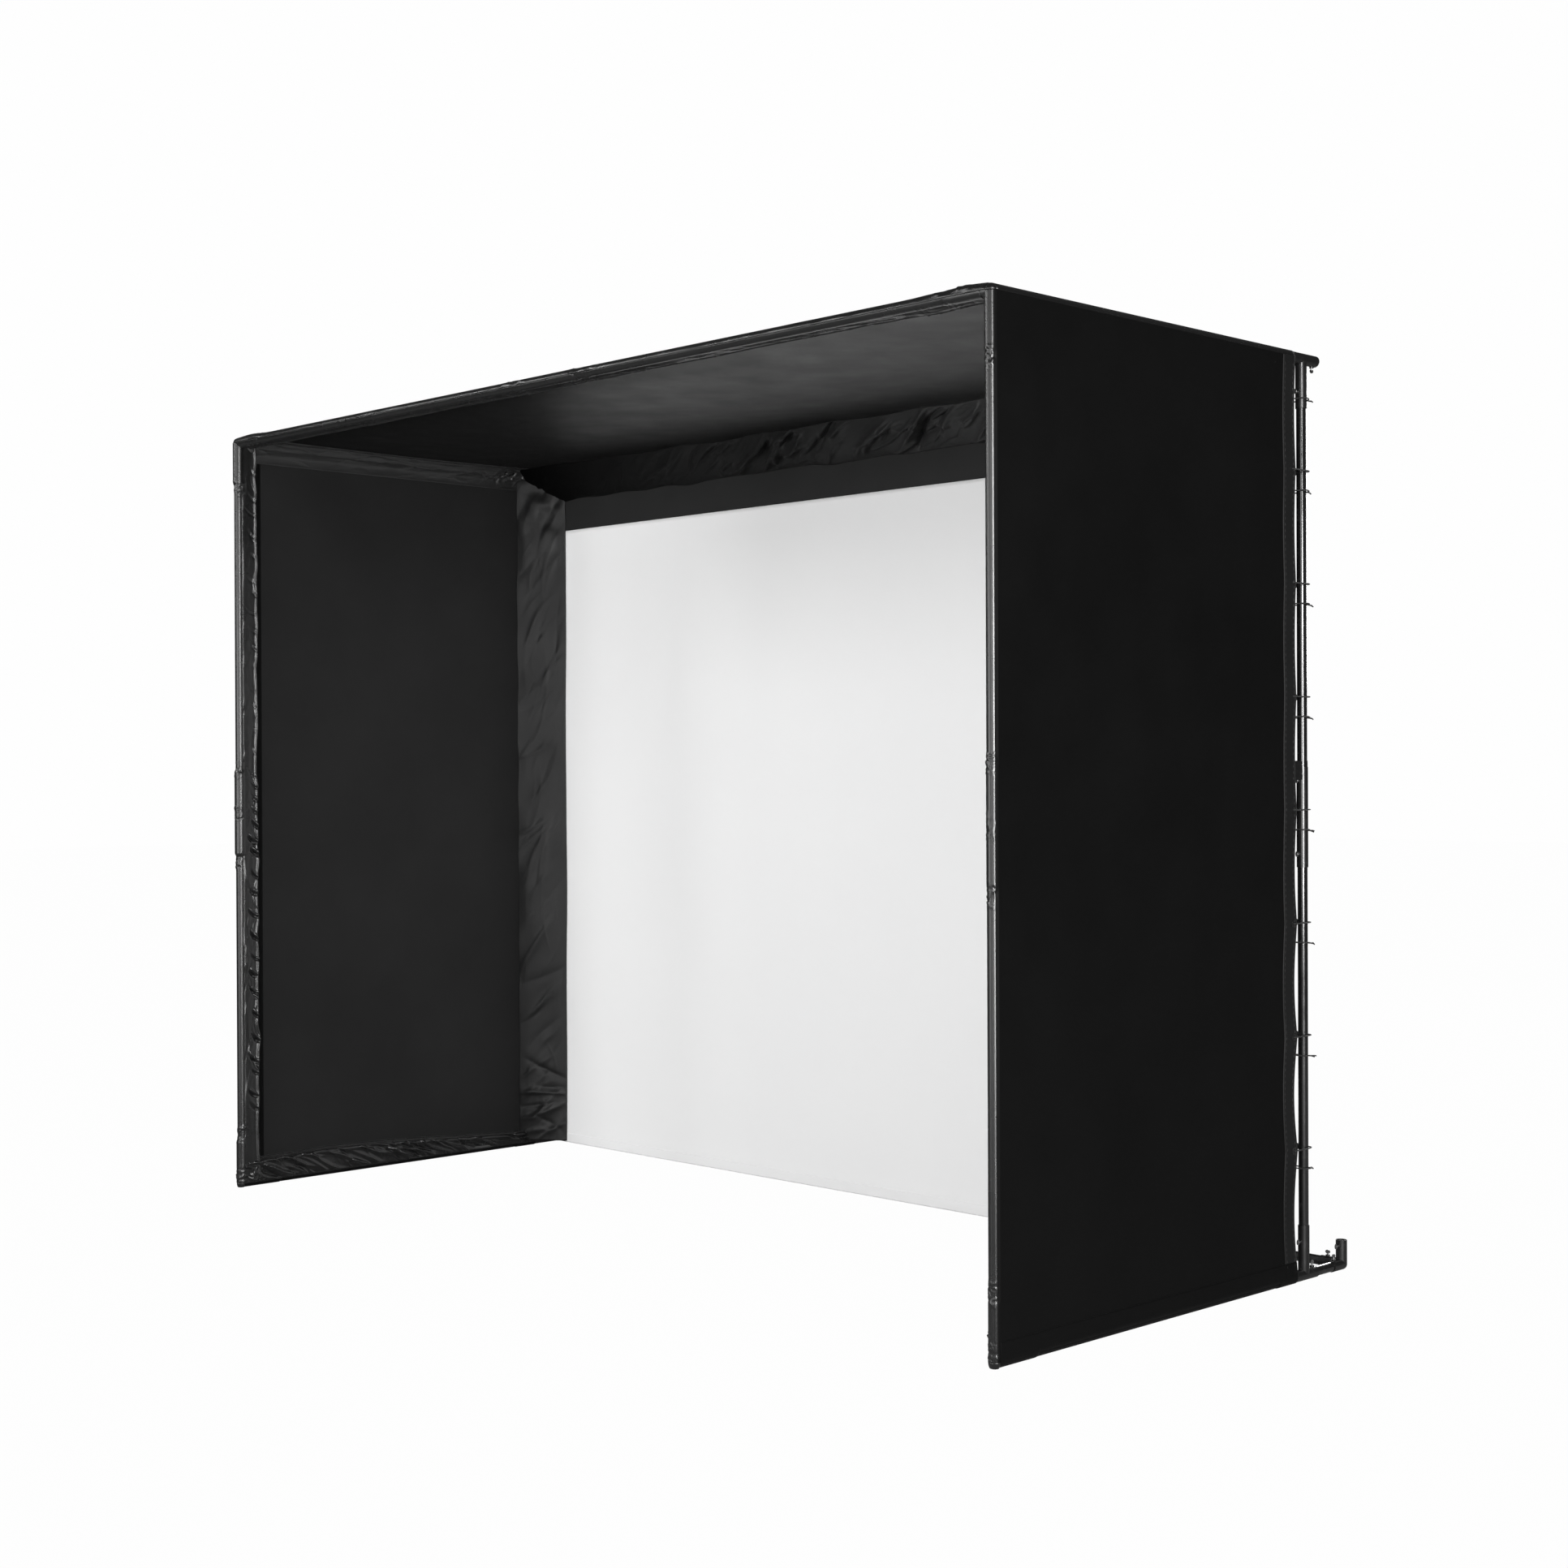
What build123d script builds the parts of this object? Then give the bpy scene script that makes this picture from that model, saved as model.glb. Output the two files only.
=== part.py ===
"""Golf simulator bay: tube frame, fabric roof and walls, and a sprung impact screen.

Frame of reference: +Z up, +X to the right for a player facing the screen, +Y towards
the screen. The origin is on the floor, at the centre of the footprint. Millimetres.
"""

from build123d import *
from math import asin, atan2, degrees, hypot
import os

# ---- driving dimensions -------------------------------------------------------------
SPAN_X = 3658.0  # between the left and right post axes, 12 ft
SPAN_Z = 2743.0  # between the bottom and top rail axes, 9 ft
DEPTH = 1422.0  # front post axis to rear post axis, 56 in
FOOT_REACH = 207.0  # rear post axis to foot rail axis

TUBE_R = 14.75  # 1 in conduit, outside radius
TUBE_WALL = 1.45
BORE_R = 15.15  # socket bore, a slip fit on the tube
SOCKET_R = 17.0  # socket outside radius
SOCKET_STOP = 22.0  # corner axis to the bottom of each socket bore
TUBE_GAP = 2.0  # tube end to the bottom of its socket
LONG_LEG = 148.0  # post sockets, from the corner axis
SHORT_LEG = 70.0  # rail sockets, from the corner axis
COUPLER_LENGTH = 300.0
COUPLER_SCREW = 110.0  # coupler centre to each of its screws

CLOTH = 1.2  # roof, wall and flap cloth, with its coating
WRAP_IN = 17.3  # inside radius of the cloth where it wraps a tube
FLAP_STRIP = 75.0  # hook-and-loop strip that returns behind a wrapped tube
REAR_SLOT = 60.0  # rear edge of roof and walls to the rear post axis

SCREEN_HALF = 1690.0  # white panel, half width
SCREEN_TOP = 2525.0
SCREEN_BOTTOM = 20.0
SCREEN_THICK = 1.6
HEM_HEIGHT = 38.0
HEM_THICK = 2.8
BORDER_SIDE = 75.0  # black border beside the white panel

CORD_R = 1.7
BALL_R = 12.5
BALL_HOLE_R = 2.0
LOOP_HALF = 22.4  # half width of a cord loop where it goes round a tube
BALL_REACH = 30.0  # tube axis to the centre of a ball on the inner side of the tube
LACES_PER_POST = 7
LACES_EACH_SIDE = 4  # on a rail, to each side of the middle
GROMMET_LOW_Z = 400.0
GROMMET_PITCH = 337.5  # up the posts
GROMMET_PITCH_X = 400.0  # along the rails
SCREEN_LACE_LOW_Z = 339.0
SCREEN_LACE_PITCH = 338.0
SCREEN_LACE_HIGH_Z = 2642.0
EYELET_BORE = 5.5
EYELET_BARREL = 7.0
EYELET_FLANGE = 11.0
EYELET_LIP = 0.8
EYELET_CLEAR = 0.1
HOLE_REACH = 5.0  # a hole is cut this far to each side of its cloth

BOSS_R = 6.5
BOSS_TOP = 21.0  # socket axis to the face of a screw boss
SHANK_R = 3.0  # M6
SHANK_CLEAR = 3.2
THUMB_LONG = 8.0
THUMB_SHORT = 6.0
THUMB_THICK = 3.0
THUMB_CENTRE = 30.0  # socket axis to the middle of a thumb screw's head

# ---- derived positions --------------------------------------------------------------
WRAP_R = WRAP_IN + CLOTH
WRAP_MID = WRAP_IN + CLOTH / 2
POST_X = SPAN_X / 2
FRONT_Y = -(DEPTH + FOOT_REACH + SOCKET_R - WRAP_R) / 2
REAR_Y = FRONT_Y + DEPTH
FOOT_Y = REAR_Y + FOOT_REACH
LOW_Z = WRAP_R
TOP_Z = LOW_Z + SPAN_Z
MID_Z = (LOW_Z + TOP_Z) / 2
CLOTH_END_Y = REAR_Y - REAR_SLOT
TUBE_START = SOCKET_STOP + TUBE_GAP
JOINT_GAP = 1.0  # from a coupler's middle to each tube end

X = Vector(1, 0, 0)
Y = Vector(0, 1, 0)
Z = Vector(0, 0, 1)

SIDES = {"left": -1, "right": 1}
EYELET_EDGE = 17.0  # grommet centre to the edge of the cloth
WALL_EYELET_Y = CLOTH_END_Y - EYELET_EDGE
WALL_EYELET_Z = [GROMMET_LOW_Z + GROMMET_PITCH * i for i in range(LACES_PER_POST)]
ROOF_EYELET_X = [GROMMET_PITCH_X * i for i in range(-LACES_EACH_SIDE, LACES_EACH_SIDE + 1)]
SCREEN_EYELET_Z = [SCREEN_LACE_LOW_Z + SCREEN_LACE_PITCH * i for i in range(LACES_PER_POST)]
SCREEN_EYELET_Z.append(SCREEN_LACE_HIGH_Z)
SCREEN_EYELET_X = [GROMMET_PITCH_X * (i + 0.5) for i in range(-LACES_EACH_SIDE, LACES_EACH_SIDE)]
EYELET_TO_POST = 77.0  # screen grommet to the post or rail it is tied to
SIDE_EYELET_X = POST_X - EYELET_TO_POST
TOP_EYELET_Z = TOP_Z - EYELET_TO_POST
BORDER_MARGIN = 15.0  # top screen grommets to the edge of the border
BORDER_TOP = TOP_EYELET_Z + BORDER_MARGIN
SKIRT_DEPTH = 42.0  # cloth folded back from the foot of the screen
SKIRT_Z = SCREEN_BOTTOM + CLOTH / 2
SKIRT_EYELET_Y = 25.0

FLAP_SEAM_Y = -116.0  # side flap seam on the wall, from the rear post axis
FLAP_TIP_Y = -3.0  # side flap edge, where it rests on the screen
FLAP_TIP_X = 1673.0
SIDE_SEAM_CLEAR = 0.4  # side flap to the inside of the wall
FLAP_SEAM_X = POST_X + WRAP_IN - SIDE_SEAM_CLEAR
TOP_FLAP_Y = -128.0  # top flap seam on the roof, from the rear post axis
TOP_SEAM_CLEAR = 1.8  # top flap to the inside of the roof
TOP_FLAP_Z = TOP_Z + WRAP_IN - TOP_SEAM_CLEAR
TOP_FLAP_TIP_Z = 2647.0
FLAP_GAP = 3.0

os.makedirs("parts", exist_ok=True)


def save(piece, label):
    """Name a finished piece and write its STEP file."""
    piece.part.label = label
    export_step(piece.part, f"parts/{label}.step")


# ---- tubes --------------------------------------------------------------------------
def tube(label, start, direction, length):
    """A straight run of conduit."""
    with BuildPart() as piece:
        with BuildSketch(Plane(origin=start, z_dir=direction)):
            Circle(TUBE_R)
            Circle(TUBE_R - TUBE_WALL, mode=Mode.SUBTRACT)
        extrude(amount=length)
    save(piece, label)


half_post = SPAN_Z / 2 - TUBE_START - JOINT_GAP
half_rail = SPAN_X / 2 - TUBE_START - JOINT_GAP
for side, sign in SIDES.items():
    post_x = sign * POST_X
    for row, post_y in (("front", FRONT_Y), ("rear", REAR_Y)):
        tube(f"{row}_{side}_post_lower", Vector(post_x, post_y, LOW_Z + TUBE_START), Z, half_post)
        tube(f"{row}_{side}_post_upper", Vector(post_x, post_y, MID_Z + JOINT_GAP), Z, half_post)
    side_run = DEPTH - 2 * TUBE_START
    tube(f"top_{side}_rail", Vector(post_x, FRONT_Y + TUBE_START, TOP_Z), Y, side_run)
    tube(f"bottom_{side}_rail", Vector(post_x, FRONT_Y + TUBE_START, LOW_Z), Y, side_run)
    stub_run = FOOT_REACH - 2 * TUBE_START
    tube(f"{side}_foot_stub", Vector(post_x, REAR_Y + TUBE_START, LOW_Z), Y, stub_run)
    rails = (("top_front", FRONT_Y, TOP_Z), ("top_rear", REAR_Y, TOP_Z), ("foot", FOOT_Y, LOW_Z))
    for row, rail_y, rail_z in rails:
        tube(f"{row}_rail_{side}", Vector(sign * JOINT_GAP, rail_y, rail_z), X * sign, half_rail)


# ---- clamp screws, their bosses and the sockets that carry them ----------------------
SCREWS = []  # (point on the socket axis, direction out, direction along the socket)


def bosses(screws):
    """Add the round pads that a socket's clamp screws are threaded through."""
    for foot, outward, _ in screws:
        with BuildSketch(Plane(origin=foot + outward * TUBE_R, z_dir=outward)) as pad:
            Circle(BOSS_R)
        extrude(pad.sketch, amount=BOSS_TOP - TUBE_R)


def screw_holes(screws):
    """Cut the screw holes through the pads and the socket wall."""
    for foot, outward, _ in screws:
        with BuildSketch(Plane(origin=foot + outward * (TUBE_R - TUBE_WALL), z_dir=outward)) as hole:
            Circle(SHANK_CLEAR)
        extrude(hole.sketch, amount=BOSS_TOP, mode=Mode.SUBTRACT)


def corner_fitting(label, corner, legs):
    """Sockets welded at one corner: each leg is (direction, length, screw at, screw out)."""
    screws = [(corner + way * at, outward, way) for way, _, at, outward in legs]
    with BuildPart() as piece:
        with Locations(corner):
            Sphere(SOCKET_R)
        for way, length, _, _ in legs:
            with BuildSketch(Plane(origin=corner, z_dir=way)):
                Circle(SOCKET_R)
            extrude(amount=length)
        bosses(screws)
        for way, length, _, _ in legs:
            with BuildSketch(Plane(origin=corner + way * SOCKET_STOP, z_dir=way)):
                Circle(BORE_R)
            extrude(amount=length, mode=Mode.SUBTRACT)
        screw_holes(screws)
    save(piece, label)
    return screws


def coupler(label, centre, along, outward):
    """An outer sleeve over the joint between two tubes, with a screw on each tube."""
    screws = [(centre + along * at, outward, along) for at in (-COUPLER_SCREW, COUPLER_SCREW)]
    with BuildPart() as piece:
        with BuildSketch(Plane(origin=centre - along * (COUPLER_LENGTH / 2), z_dir=along)):
            Circle(SOCKET_R)
        extrude(amount=COUPLER_LENGTH)
        bosses(screws)
        with BuildSketch(Plane(origin=centre - along * (COUPLER_LENGTH / 2), z_dir=along)):
            Circle(BORE_R)
        extrude(amount=COUPLER_LENGTH, mode=Mode.SUBTRACT)
        screw_holes(screws)
    save(piece, label)
    SCREWS.extend(screws)


def clamp_screw(foot, outward, along, tip):
    """A thumb screw: a plain M6 shank and a flat oval head in line with the socket."""
    with BuildSketch(Plane(origin=foot + outward * tip, z_dir=outward)) as shank:
        Circle(SHANK_R)
    extrude(shank.sketch, amount=THUMB_CENTRE - THUMB_SHORT / 2 - tip)
    across = outward.cross(along)
    face = foot + outward * THUMB_CENTRE - across * (THUMB_THICK / 2)
    with BuildSketch(Plane(origin=face, x_dir=along, z_dir=across)) as head:
        Ellipse(THUMB_LONG, THUMB_SHORT)
    extrude(head.sketch, amount=THUMB_THICK)


POST_SCREW = 100.0  # corner axis to the screw of a post socket
RAIL_SCREW = 48.0  # corner axis to the screw of a rail socket
FOOT_LEG = 60.0  # sockets that hold the short foot stubs
FOOT_SCREW = 44.0
OPEN_LEG = 74.0  # sockets left open for an add-on tube
OPEN_SCREW = 57.0
SCREW_TIP = TUBE_R + 0.1  # a tightened screw bears on its tube
OPEN_TIP = BORE_R + 0.2  # a slack screw is clear of the empty bore

open_screws = {}
for side, sign in SIDES.items():
    inward = X * -sign
    post_x = sign * POST_X
    front_low = [(Z, LONG_LEG, POST_SCREW, Y), (Y, SHORT_LEG, RAIL_SCREW, Z)]
    SCREWS += corner_fitting(f"front_{side}_bottom_corner", Vector(post_x, FRONT_Y, LOW_Z), front_low)
    front_top = [(-Z, LONG_LEG, POST_SCREW, Y), (Y, SHORT_LEG, RAIL_SCREW, -Z),
                 (inward, SHORT_LEG, RAIL_SCREW, Y)]
    SCREWS += corner_fitting(f"front_{side}_top_corner", Vector(post_x, FRONT_Y, TOP_Z), front_top)
    rear_low = [(Y, FOOT_LEG, FOOT_SCREW, Z), (Z, LONG_LEG, POST_SCREW, -Y),
                (-Y, SHORT_LEG, RAIL_SCREW, Z)]
    SCREWS += corner_fitting(f"rear_{side}_bottom_corner", Vector(post_x, REAR_Y, LOW_Z), rear_low)
    rear_top = [(Y, OPEN_LEG, OPEN_SCREW, -Z), (-Z, LONG_LEG, POST_SCREW, -Y),
                (-Y, SHORT_LEG, RAIL_SCREW, -Z), (inward, SHORT_LEG, RAIL_SCREW, Y)]
    fitted = corner_fitting(f"rear_{side}_top_corner", Vector(post_x, REAR_Y, TOP_Z), rear_top)
    open_screws[f"{side}_top_socket_screw"] = fitted[0]
    SCREWS += fitted[1:]
    foot = [(Z, OPEN_LEG, OPEN_SCREW, -Y), (-Y, FOOT_LEG, FOOT_SCREW, Z),
            (inward, SHORT_LEG, RAIL_SCREW, Z)]
    fitted = corner_fitting(f"{side}_foot_corner", Vector(post_x, FOOT_Y, LOW_Z), foot)
    open_screws[f"{side}_foot_socket_screw"] = fitted[0]
    SCREWS += fitted[1:]
    coupler(f"front_{side}_post_coupler", Vector(post_x, FRONT_Y, MID_Z), Z, Y)
    coupler(f"rear_{side}_post_coupler", Vector(post_x, REAR_Y, MID_Z), Z, -Y)

coupler("top_front_rail_coupler", Vector(0, FRONT_Y, TOP_Z), X, Y)
coupler("top_rear_rail_coupler", Vector(0, REAR_Y, TOP_Z), X, Y)
coupler("foot_rail_coupler", Vector(0, FOOT_Y, LOW_Z), X, Z)

with BuildPart() as clamp_screws:
    for foot, outward, along in SCREWS:
        clamp_screw(foot, outward, along, SCREW_TIP)
save(clamp_screws, "clamp_screws")

for label, (foot, outward, along) in open_screws.items():
    with BuildPart() as open_screw:
        clamp_screw(foot, outward, along, OPEN_TIP)
    save(open_screw, label)


# ---- grommets -----------------------------------------------------------------------
def eyelet(grip):
    """A rolled two-flange eyelet through cloth of the given thickness, along local Z."""
    with BuildPart() as ring:
        with BuildSketch(Plane.XZ):
            with Locations(((EYELET_BORE + EYELET_BARREL) / 2, 0)):
                Rectangle(EYELET_BARREL - EYELET_BORE, grip + 2 * EYELET_LIP)
            for end in (-1, 1):
                with Locations(((EYELET_BORE + EYELET_FLANGE) / 2, end * (grip + EYELET_LIP) / 2)):
                    Rectangle(EYELET_FLANGE - EYELET_BORE, EYELET_LIP)
        revolve(axis=Axis.Z)
    return ring.part


def eyelet_holes(planes):
    """Cut the holes that the eyelets sit in."""
    for plane in planes:
        with BuildSketch(plane.offset(-HOLE_REACH)) as hole:
            Circle(EYELET_BARREL + EYELET_CLEAR)
        extrude(hole.sketch, amount=2 * HOLE_REACH, mode=Mode.SUBTRACT)


def outward_plane(x, y, z, normal):
    """A plane across a grommet, facing along its axis."""
    return Plane(origin=(x, y, z), z_dir=normal)


wall_eyelets = {
    sign: [outward_plane(sign * (POST_X + WRAP_MID), WALL_EYELET_Y, z, X) for z in WALL_EYELET_Z]
    for sign in SIDES.values()
}
roof_eyelets = [outward_plane(x, WALL_EYELET_Y, TOP_Z + WRAP_MID, Z) for x in ROOF_EYELET_X]
border_eyelets = [outward_plane(x, REAR_Y, TOP_EYELET_Z, Y) for x in SCREEN_EYELET_X]
for sign in SIDES.values():
    border_eyelets += [outward_plane(sign * SIDE_EYELET_X, REAR_Y, z, Y) for z in SCREEN_EYELET_Z]
skirt_eyelets = [outward_plane(x, REAR_Y + SKIRT_EYELET_Y, SKIRT_Z, Z) for x in SCREEN_EYELET_X]

cover_grip = CLOTH + EYELET_CLEAR
with BuildPart() as cover_grommets:
    with Locations(*wall_eyelets[-1], *wall_eyelets[1], *roof_eyelets):
        add(eyelet(cover_grip))
save(cover_grommets, "cover_grommets")

with BuildPart() as screen_grommets:
    with Locations(*border_eyelets):
        add(eyelet(SCREEN_THICK + EYELET_CLEAR))
    with Locations(*skirt_eyelets):
        add(eyelet(cover_grip))
save(screen_grommets, "screen_grommets")


# ---- roof and walls -----------------------------------------------------------------
def arc_strip(centre, start, size, before=None, after=None):
    """Cloth seen edge on: an arc round a tube, with straight runs before and after it."""
    with BuildLine() as strip:
        bend = CenterArc(centre, WRAP_MID, start, size)
        if before:
            Line(bend @ 0, before)
        if after:
            Line(bend @ 1, after)
    trace(strip.line, line_width=CLOTH)


WRAP_TOP_Z = TOP_Z - 23.5  # the front wrap stops under the top corner fitting
WALL_TOP_Z = TOP_Z - 0.3  # the flat stops where the roof turns down to meet it
BOTTOM_STRIP = 70.0  # strip that returns above the bottom rail

with BuildPart() as right_wall:
    # Front edge, in plan: down the outside of the post, round it and back inside.
    with BuildSketch(Plane.XY.offset(LOW_Z)):
        arc_strip((POST_X, FRONT_Y), 0, -180, after=(POST_X - WRAP_MID, FRONT_Y + FLAP_STRIP))
    extrude(amount=WRAP_TOP_Z - LOW_Z)
    # Bottom edge, seen from the front: under the rail and up inside it.
    with BuildSketch(Plane(origin=(0, FRONT_Y, 0), x_dir=X, z_dir=-Y)):
        arc_strip((POST_X, LOW_Z), 0, -180, after=(POST_X - WRAP_MID, LOW_Z + BOTTOM_STRIP))
    extrude(amount=-(CLOTH_END_Y - FRONT_Y))
    # The turned corner where those two wraps meet.
    with BuildSketch(Plane.XY.offset(LOW_Z)):
        arc_strip((POST_X, FRONT_Y), 0, -180)
    revolve(axis=Axis((0, FRONT_Y, LOW_Z), (1, 0, 0)), revolution_arc=90)
    # The flat of the wall, outside the tubes.
    with BuildSketch(Plane(origin=(POST_X + WRAP_IN, 0, 0), x_dir=Y, z_dir=X)):
        with Locations(((FRONT_Y + CLOTH_END_Y) / 2, (LOW_Z + WALL_TOP_Z) / 2)):
            Rectangle(CLOTH_END_Y - FRONT_Y, WALL_TOP_Z - LOW_Z)
    extrude(amount=CLOTH)
    eyelet_holes(wall_eyelets[1])
save(right_wall, "right_wall")

with BuildPart() as left_wall:
    mirror(right_wall.part, about=Plane.YZ)
save(left_wall, "left_wall")

ROOF_LIP_X = POST_X - 23.0  # the underside of the front wrap stops short of the posts
with BuildPart() as roof:
    across_front = Plane(origin=(0, 0, 0), x_dir=Y, z_dir=X)
    with BuildSketch(across_front.offset(-POST_X)):
        arc_strip((FRONT_Y, TOP_Z), 90, 90, before=(CLOTH_END_Y, TOP_Z + WRAP_MID))
    extrude(amount=SPAN_X)
    with BuildSketch(across_front.offset(-ROOF_LIP_X)):
        arc_strip((FRONT_Y, TOP_Z), 180, 90, after=(FRONT_Y + FLAP_STRIP, TOP_Z - WRAP_MID))
    extrude(amount=2 * ROOF_LIP_X)
    for sign in SIDES.values():
        start = 0 if sign > 0 else 180
        corner = Axis((sign * POST_X, FRONT_Y, TOP_Z), (0, 0, 1))
        with BuildSketch(Plane(origin=(0, FRONT_Y, 0), x_dir=X, z_dir=-Y)):
            arc_strip((sign * POST_X, TOP_Z), start, sign * 90)
        extrude(amount=-(CLOTH_END_Y - FRONT_Y))
        with BuildSketch(Plane(origin=(0, FRONT_Y, 0), x_dir=X, z_dir=-Y)):
            arc_strip((sign * POST_X, TOP_Z), start, sign * 90)
        revolve(axis=corner, revolution_arc=-sign * 90)
    eyelet_holes(roof_eyelets)
save(roof, "roof")


# ---- flaps --------------------------------------------------------------------------
flap_run = hypot(FLAP_SEAM_X - FLAP_TIP_X, FLAP_TIP_Y - FLAP_SEAM_Y)
flap_along = Vector(FLAP_TIP_X - FLAP_SEAM_X, FLAP_TIP_Y - FLAP_SEAM_Y, 0).normalized()


def top_flap_z(y):
    """Height of the top flap at a distance from the rear post axis."""
    fall = (TOP_FLAP_Z - TOP_FLAP_TIP_Z) / (FLAP_TIP_Y - TOP_FLAP_Y)
    return TOP_FLAP_Z - fall * (y - TOP_FLAP_Y)


def side_flap_x(y):
    """Distance of a side flap from the centre plane, at a distance from the rear post axis."""
    return FLAP_SEAM_X + (FLAP_TIP_X - FLAP_SEAM_X) * (y - FLAP_SEAM_Y) / (FLAP_TIP_Y - FLAP_SEAM_Y)


RAIL_CLEAR = 22.0  # a flap keeps this far from the axis of a side rail
FLAP_FOOT = 22.0
strip_clear_z = LOW_Z + BOTTOM_STRIP + FLAP_GAP
notch_run = (FLAP_SEAM_X - POST_X + RAIL_CLEAR) / (FLAP_SEAM_X - FLAP_TIP_X) * flap_run
under_rail_z = TOP_Z - RAIL_CLEAR
under_rail_y = TOP_FLAP_Y + (TOP_FLAP_Z - under_rail_z) * (FLAP_TIP_Y - TOP_FLAP_Y) / (
    TOP_FLAP_Z - TOP_FLAP_TIP_Z)
under_rail_run = (under_rail_y - FLAP_SEAM_Y) / (FLAP_TIP_Y - FLAP_SEAM_Y) * flap_run

with BuildPart() as right_flap:
    face = Plane(origin=(FLAP_SEAM_X, REAR_Y + FLAP_SEAM_Y, 0), x_dir=flap_along, z_dir=flap_along.cross(Z))
    with BuildSketch(face):
        with BuildLine():
            Polyline(
                (0, strip_clear_z),
                (0, under_rail_z - FLAP_GAP),
                (under_rail_run, under_rail_z - FLAP_GAP),
                (flap_run, TOP_FLAP_TIP_Z - FLAP_GAP),
                (flap_run, FLAP_FOOT),
                (notch_run, FLAP_FOOT),
                (notch_run, strip_clear_z),
                close=True,
            )
        make_face()
    extrude(amount=-CLOTH)
save(right_flap, "right_flap")

with BuildPart() as left_flap:
    mirror(right_flap.part, about=Plane.YZ)
save(left_flap, "left_flap")

top_flap_down = Vector(0, FLAP_TIP_Y - TOP_FLAP_Y, TOP_FLAP_TIP_Z - TOP_FLAP_Z).normalized()
top_flap_run = hypot(FLAP_TIP_Y - TOP_FLAP_Y, TOP_FLAP_Z - TOP_FLAP_TIP_Z)
shoulder_run = (under_rail_y - TOP_FLAP_Y) / (FLAP_TIP_Y - TOP_FLAP_Y) * top_flap_run
tip_half = side_flap_x(FLAP_TIP_Y) - FLAP_GAP
shoulder_half = min(side_flap_x(under_rail_y) - FLAP_GAP, POST_X - RAIL_CLEAR)

with BuildPart() as top_flap:
    face = Plane(origin=(0, REAR_Y + TOP_FLAP_Y, TOP_FLAP_Z), x_dir=X, z_dir=X.cross(top_flap_down))
    with BuildSketch(face):
        with BuildLine():
            Polyline(
                (-shoulder_half, 0),
                (shoulder_half, 0),
                (shoulder_half, shoulder_run),
                (tip_half, top_flap_run),
                (-tip_half, top_flap_run),
                (-shoulder_half, shoulder_run),
                close=True,
            )
        make_face()
    extrude(amount=CLOTH)
save(top_flap, "top_flap")


# ---- screen -------------------------------------------------------------------------
screen_face = Plane(origin=(0, REAR_Y, 0), x_dir=X, z_dir=-Y)
with BuildPart() as screen:
    with BuildSketch(screen_face.offset(-SCREEN_THICK / 2)):
        with Locations((0, (SCREEN_BOTTOM + SCREEN_TOP) / 2)):
            Rectangle(2 * SCREEN_HALF, SCREEN_TOP - SCREEN_BOTTOM)
    extrude(amount=SCREEN_THICK)
    with BuildSketch(screen_face.offset(-HEM_THICK / 2)):
        with Locations((0, SCREEN_BOTTOM + HEM_HEIGHT / 2)):
            Rectangle(2 * SCREEN_HALF, HEM_HEIGHT)
    extrude(amount=HEM_THICK)
    with BuildSketch(Plane.XY.offset(SCREEN_BOTTOM)):
        with Locations((0, REAR_Y + SKIRT_DEPTH / 2)):
            Rectangle(2 * SCREEN_HALF, SKIRT_DEPTH)
    extrude(amount=CLOTH)
    eyelet_holes(skirt_eyelets)
save(screen, "screen")

with BuildPart() as screen_border:
    outer_half = SCREEN_HALF + BORDER_SIDE
    with BuildSketch(screen_face.offset(-SCREEN_THICK / 2)):
        with BuildLine():
            Polyline(
                (-outer_half, SCREEN_BOTTOM),
                (-outer_half, BORDER_TOP),
                (outer_half, BORDER_TOP),
                (outer_half, SCREEN_BOTTOM),
                (SCREEN_HALF, SCREEN_BOTTOM),
                (SCREEN_HALF, SCREEN_TOP),
                (-SCREEN_HALF, SCREEN_TOP),
                (-SCREEN_HALF, SCREEN_BOTTOM),
                close=True,
            )
        make_face()
    extrude(amount=SCREEN_THICK)
    eyelet_holes(border_eyelets)
save(screen_border, "screen_border")


# ---- ball bungees -------------------------------------------------------------------
# Each loop is drawn in a local plane: the origin is the axis of the tube it goes round,
# local x points away from the middle of the bay and local y towards the rear.
TURN_HALF = 5.0  # half width of a loop's turn through an eyelet
TURN_R = 4.4  # bend radius of that turn
NECK = 6.0  # length of the turn's straight sides
NECK_R = 3.0  # bend radius at the end of the neck
CORNER_R = 8.0  # bend radius round a tube
SHOULDER_Y = -12.0  # where a cover loop leaves the tube for its eyelet
EDGE_BALL_Y = 2.0  # a cover ball, behind the plane of the tube axes
CORD_CLEAR = 0.15  # hem loop to the foot rail


def cord_loop(points, radii):
    """A closed loop of elastic cord through the given corners."""
    with BuildPart() as loop:
        with BuildLine(Plane.XY):
            path = FilletPolyline(*points, radius=radii, close=True)
        with BuildSketch(Plane(origin=path @ 0, z_dir=path % 0)):
            Circle(CORD_R)
        sweep(path=path)
    return loop.part


def ball(centre, along):
    """A bored plastic ball: a bow-shaped profile turned about the line of its bore."""
    with BuildPart() as knob:
        with BuildSketch(Plane(origin=centre, x_dir=along, z_dir=along.cross(Z))):
            Circle(BALL_R)
            with Locations((0, BALL_HOLE_R)):
                Rectangle(2 * BALL_R, BALL_R, align=(Align.CENTER, Align.MIN), mode=Mode.INTERSECT)
        revolve(axis=Axis(centre, along))
    return knob.part


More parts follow.
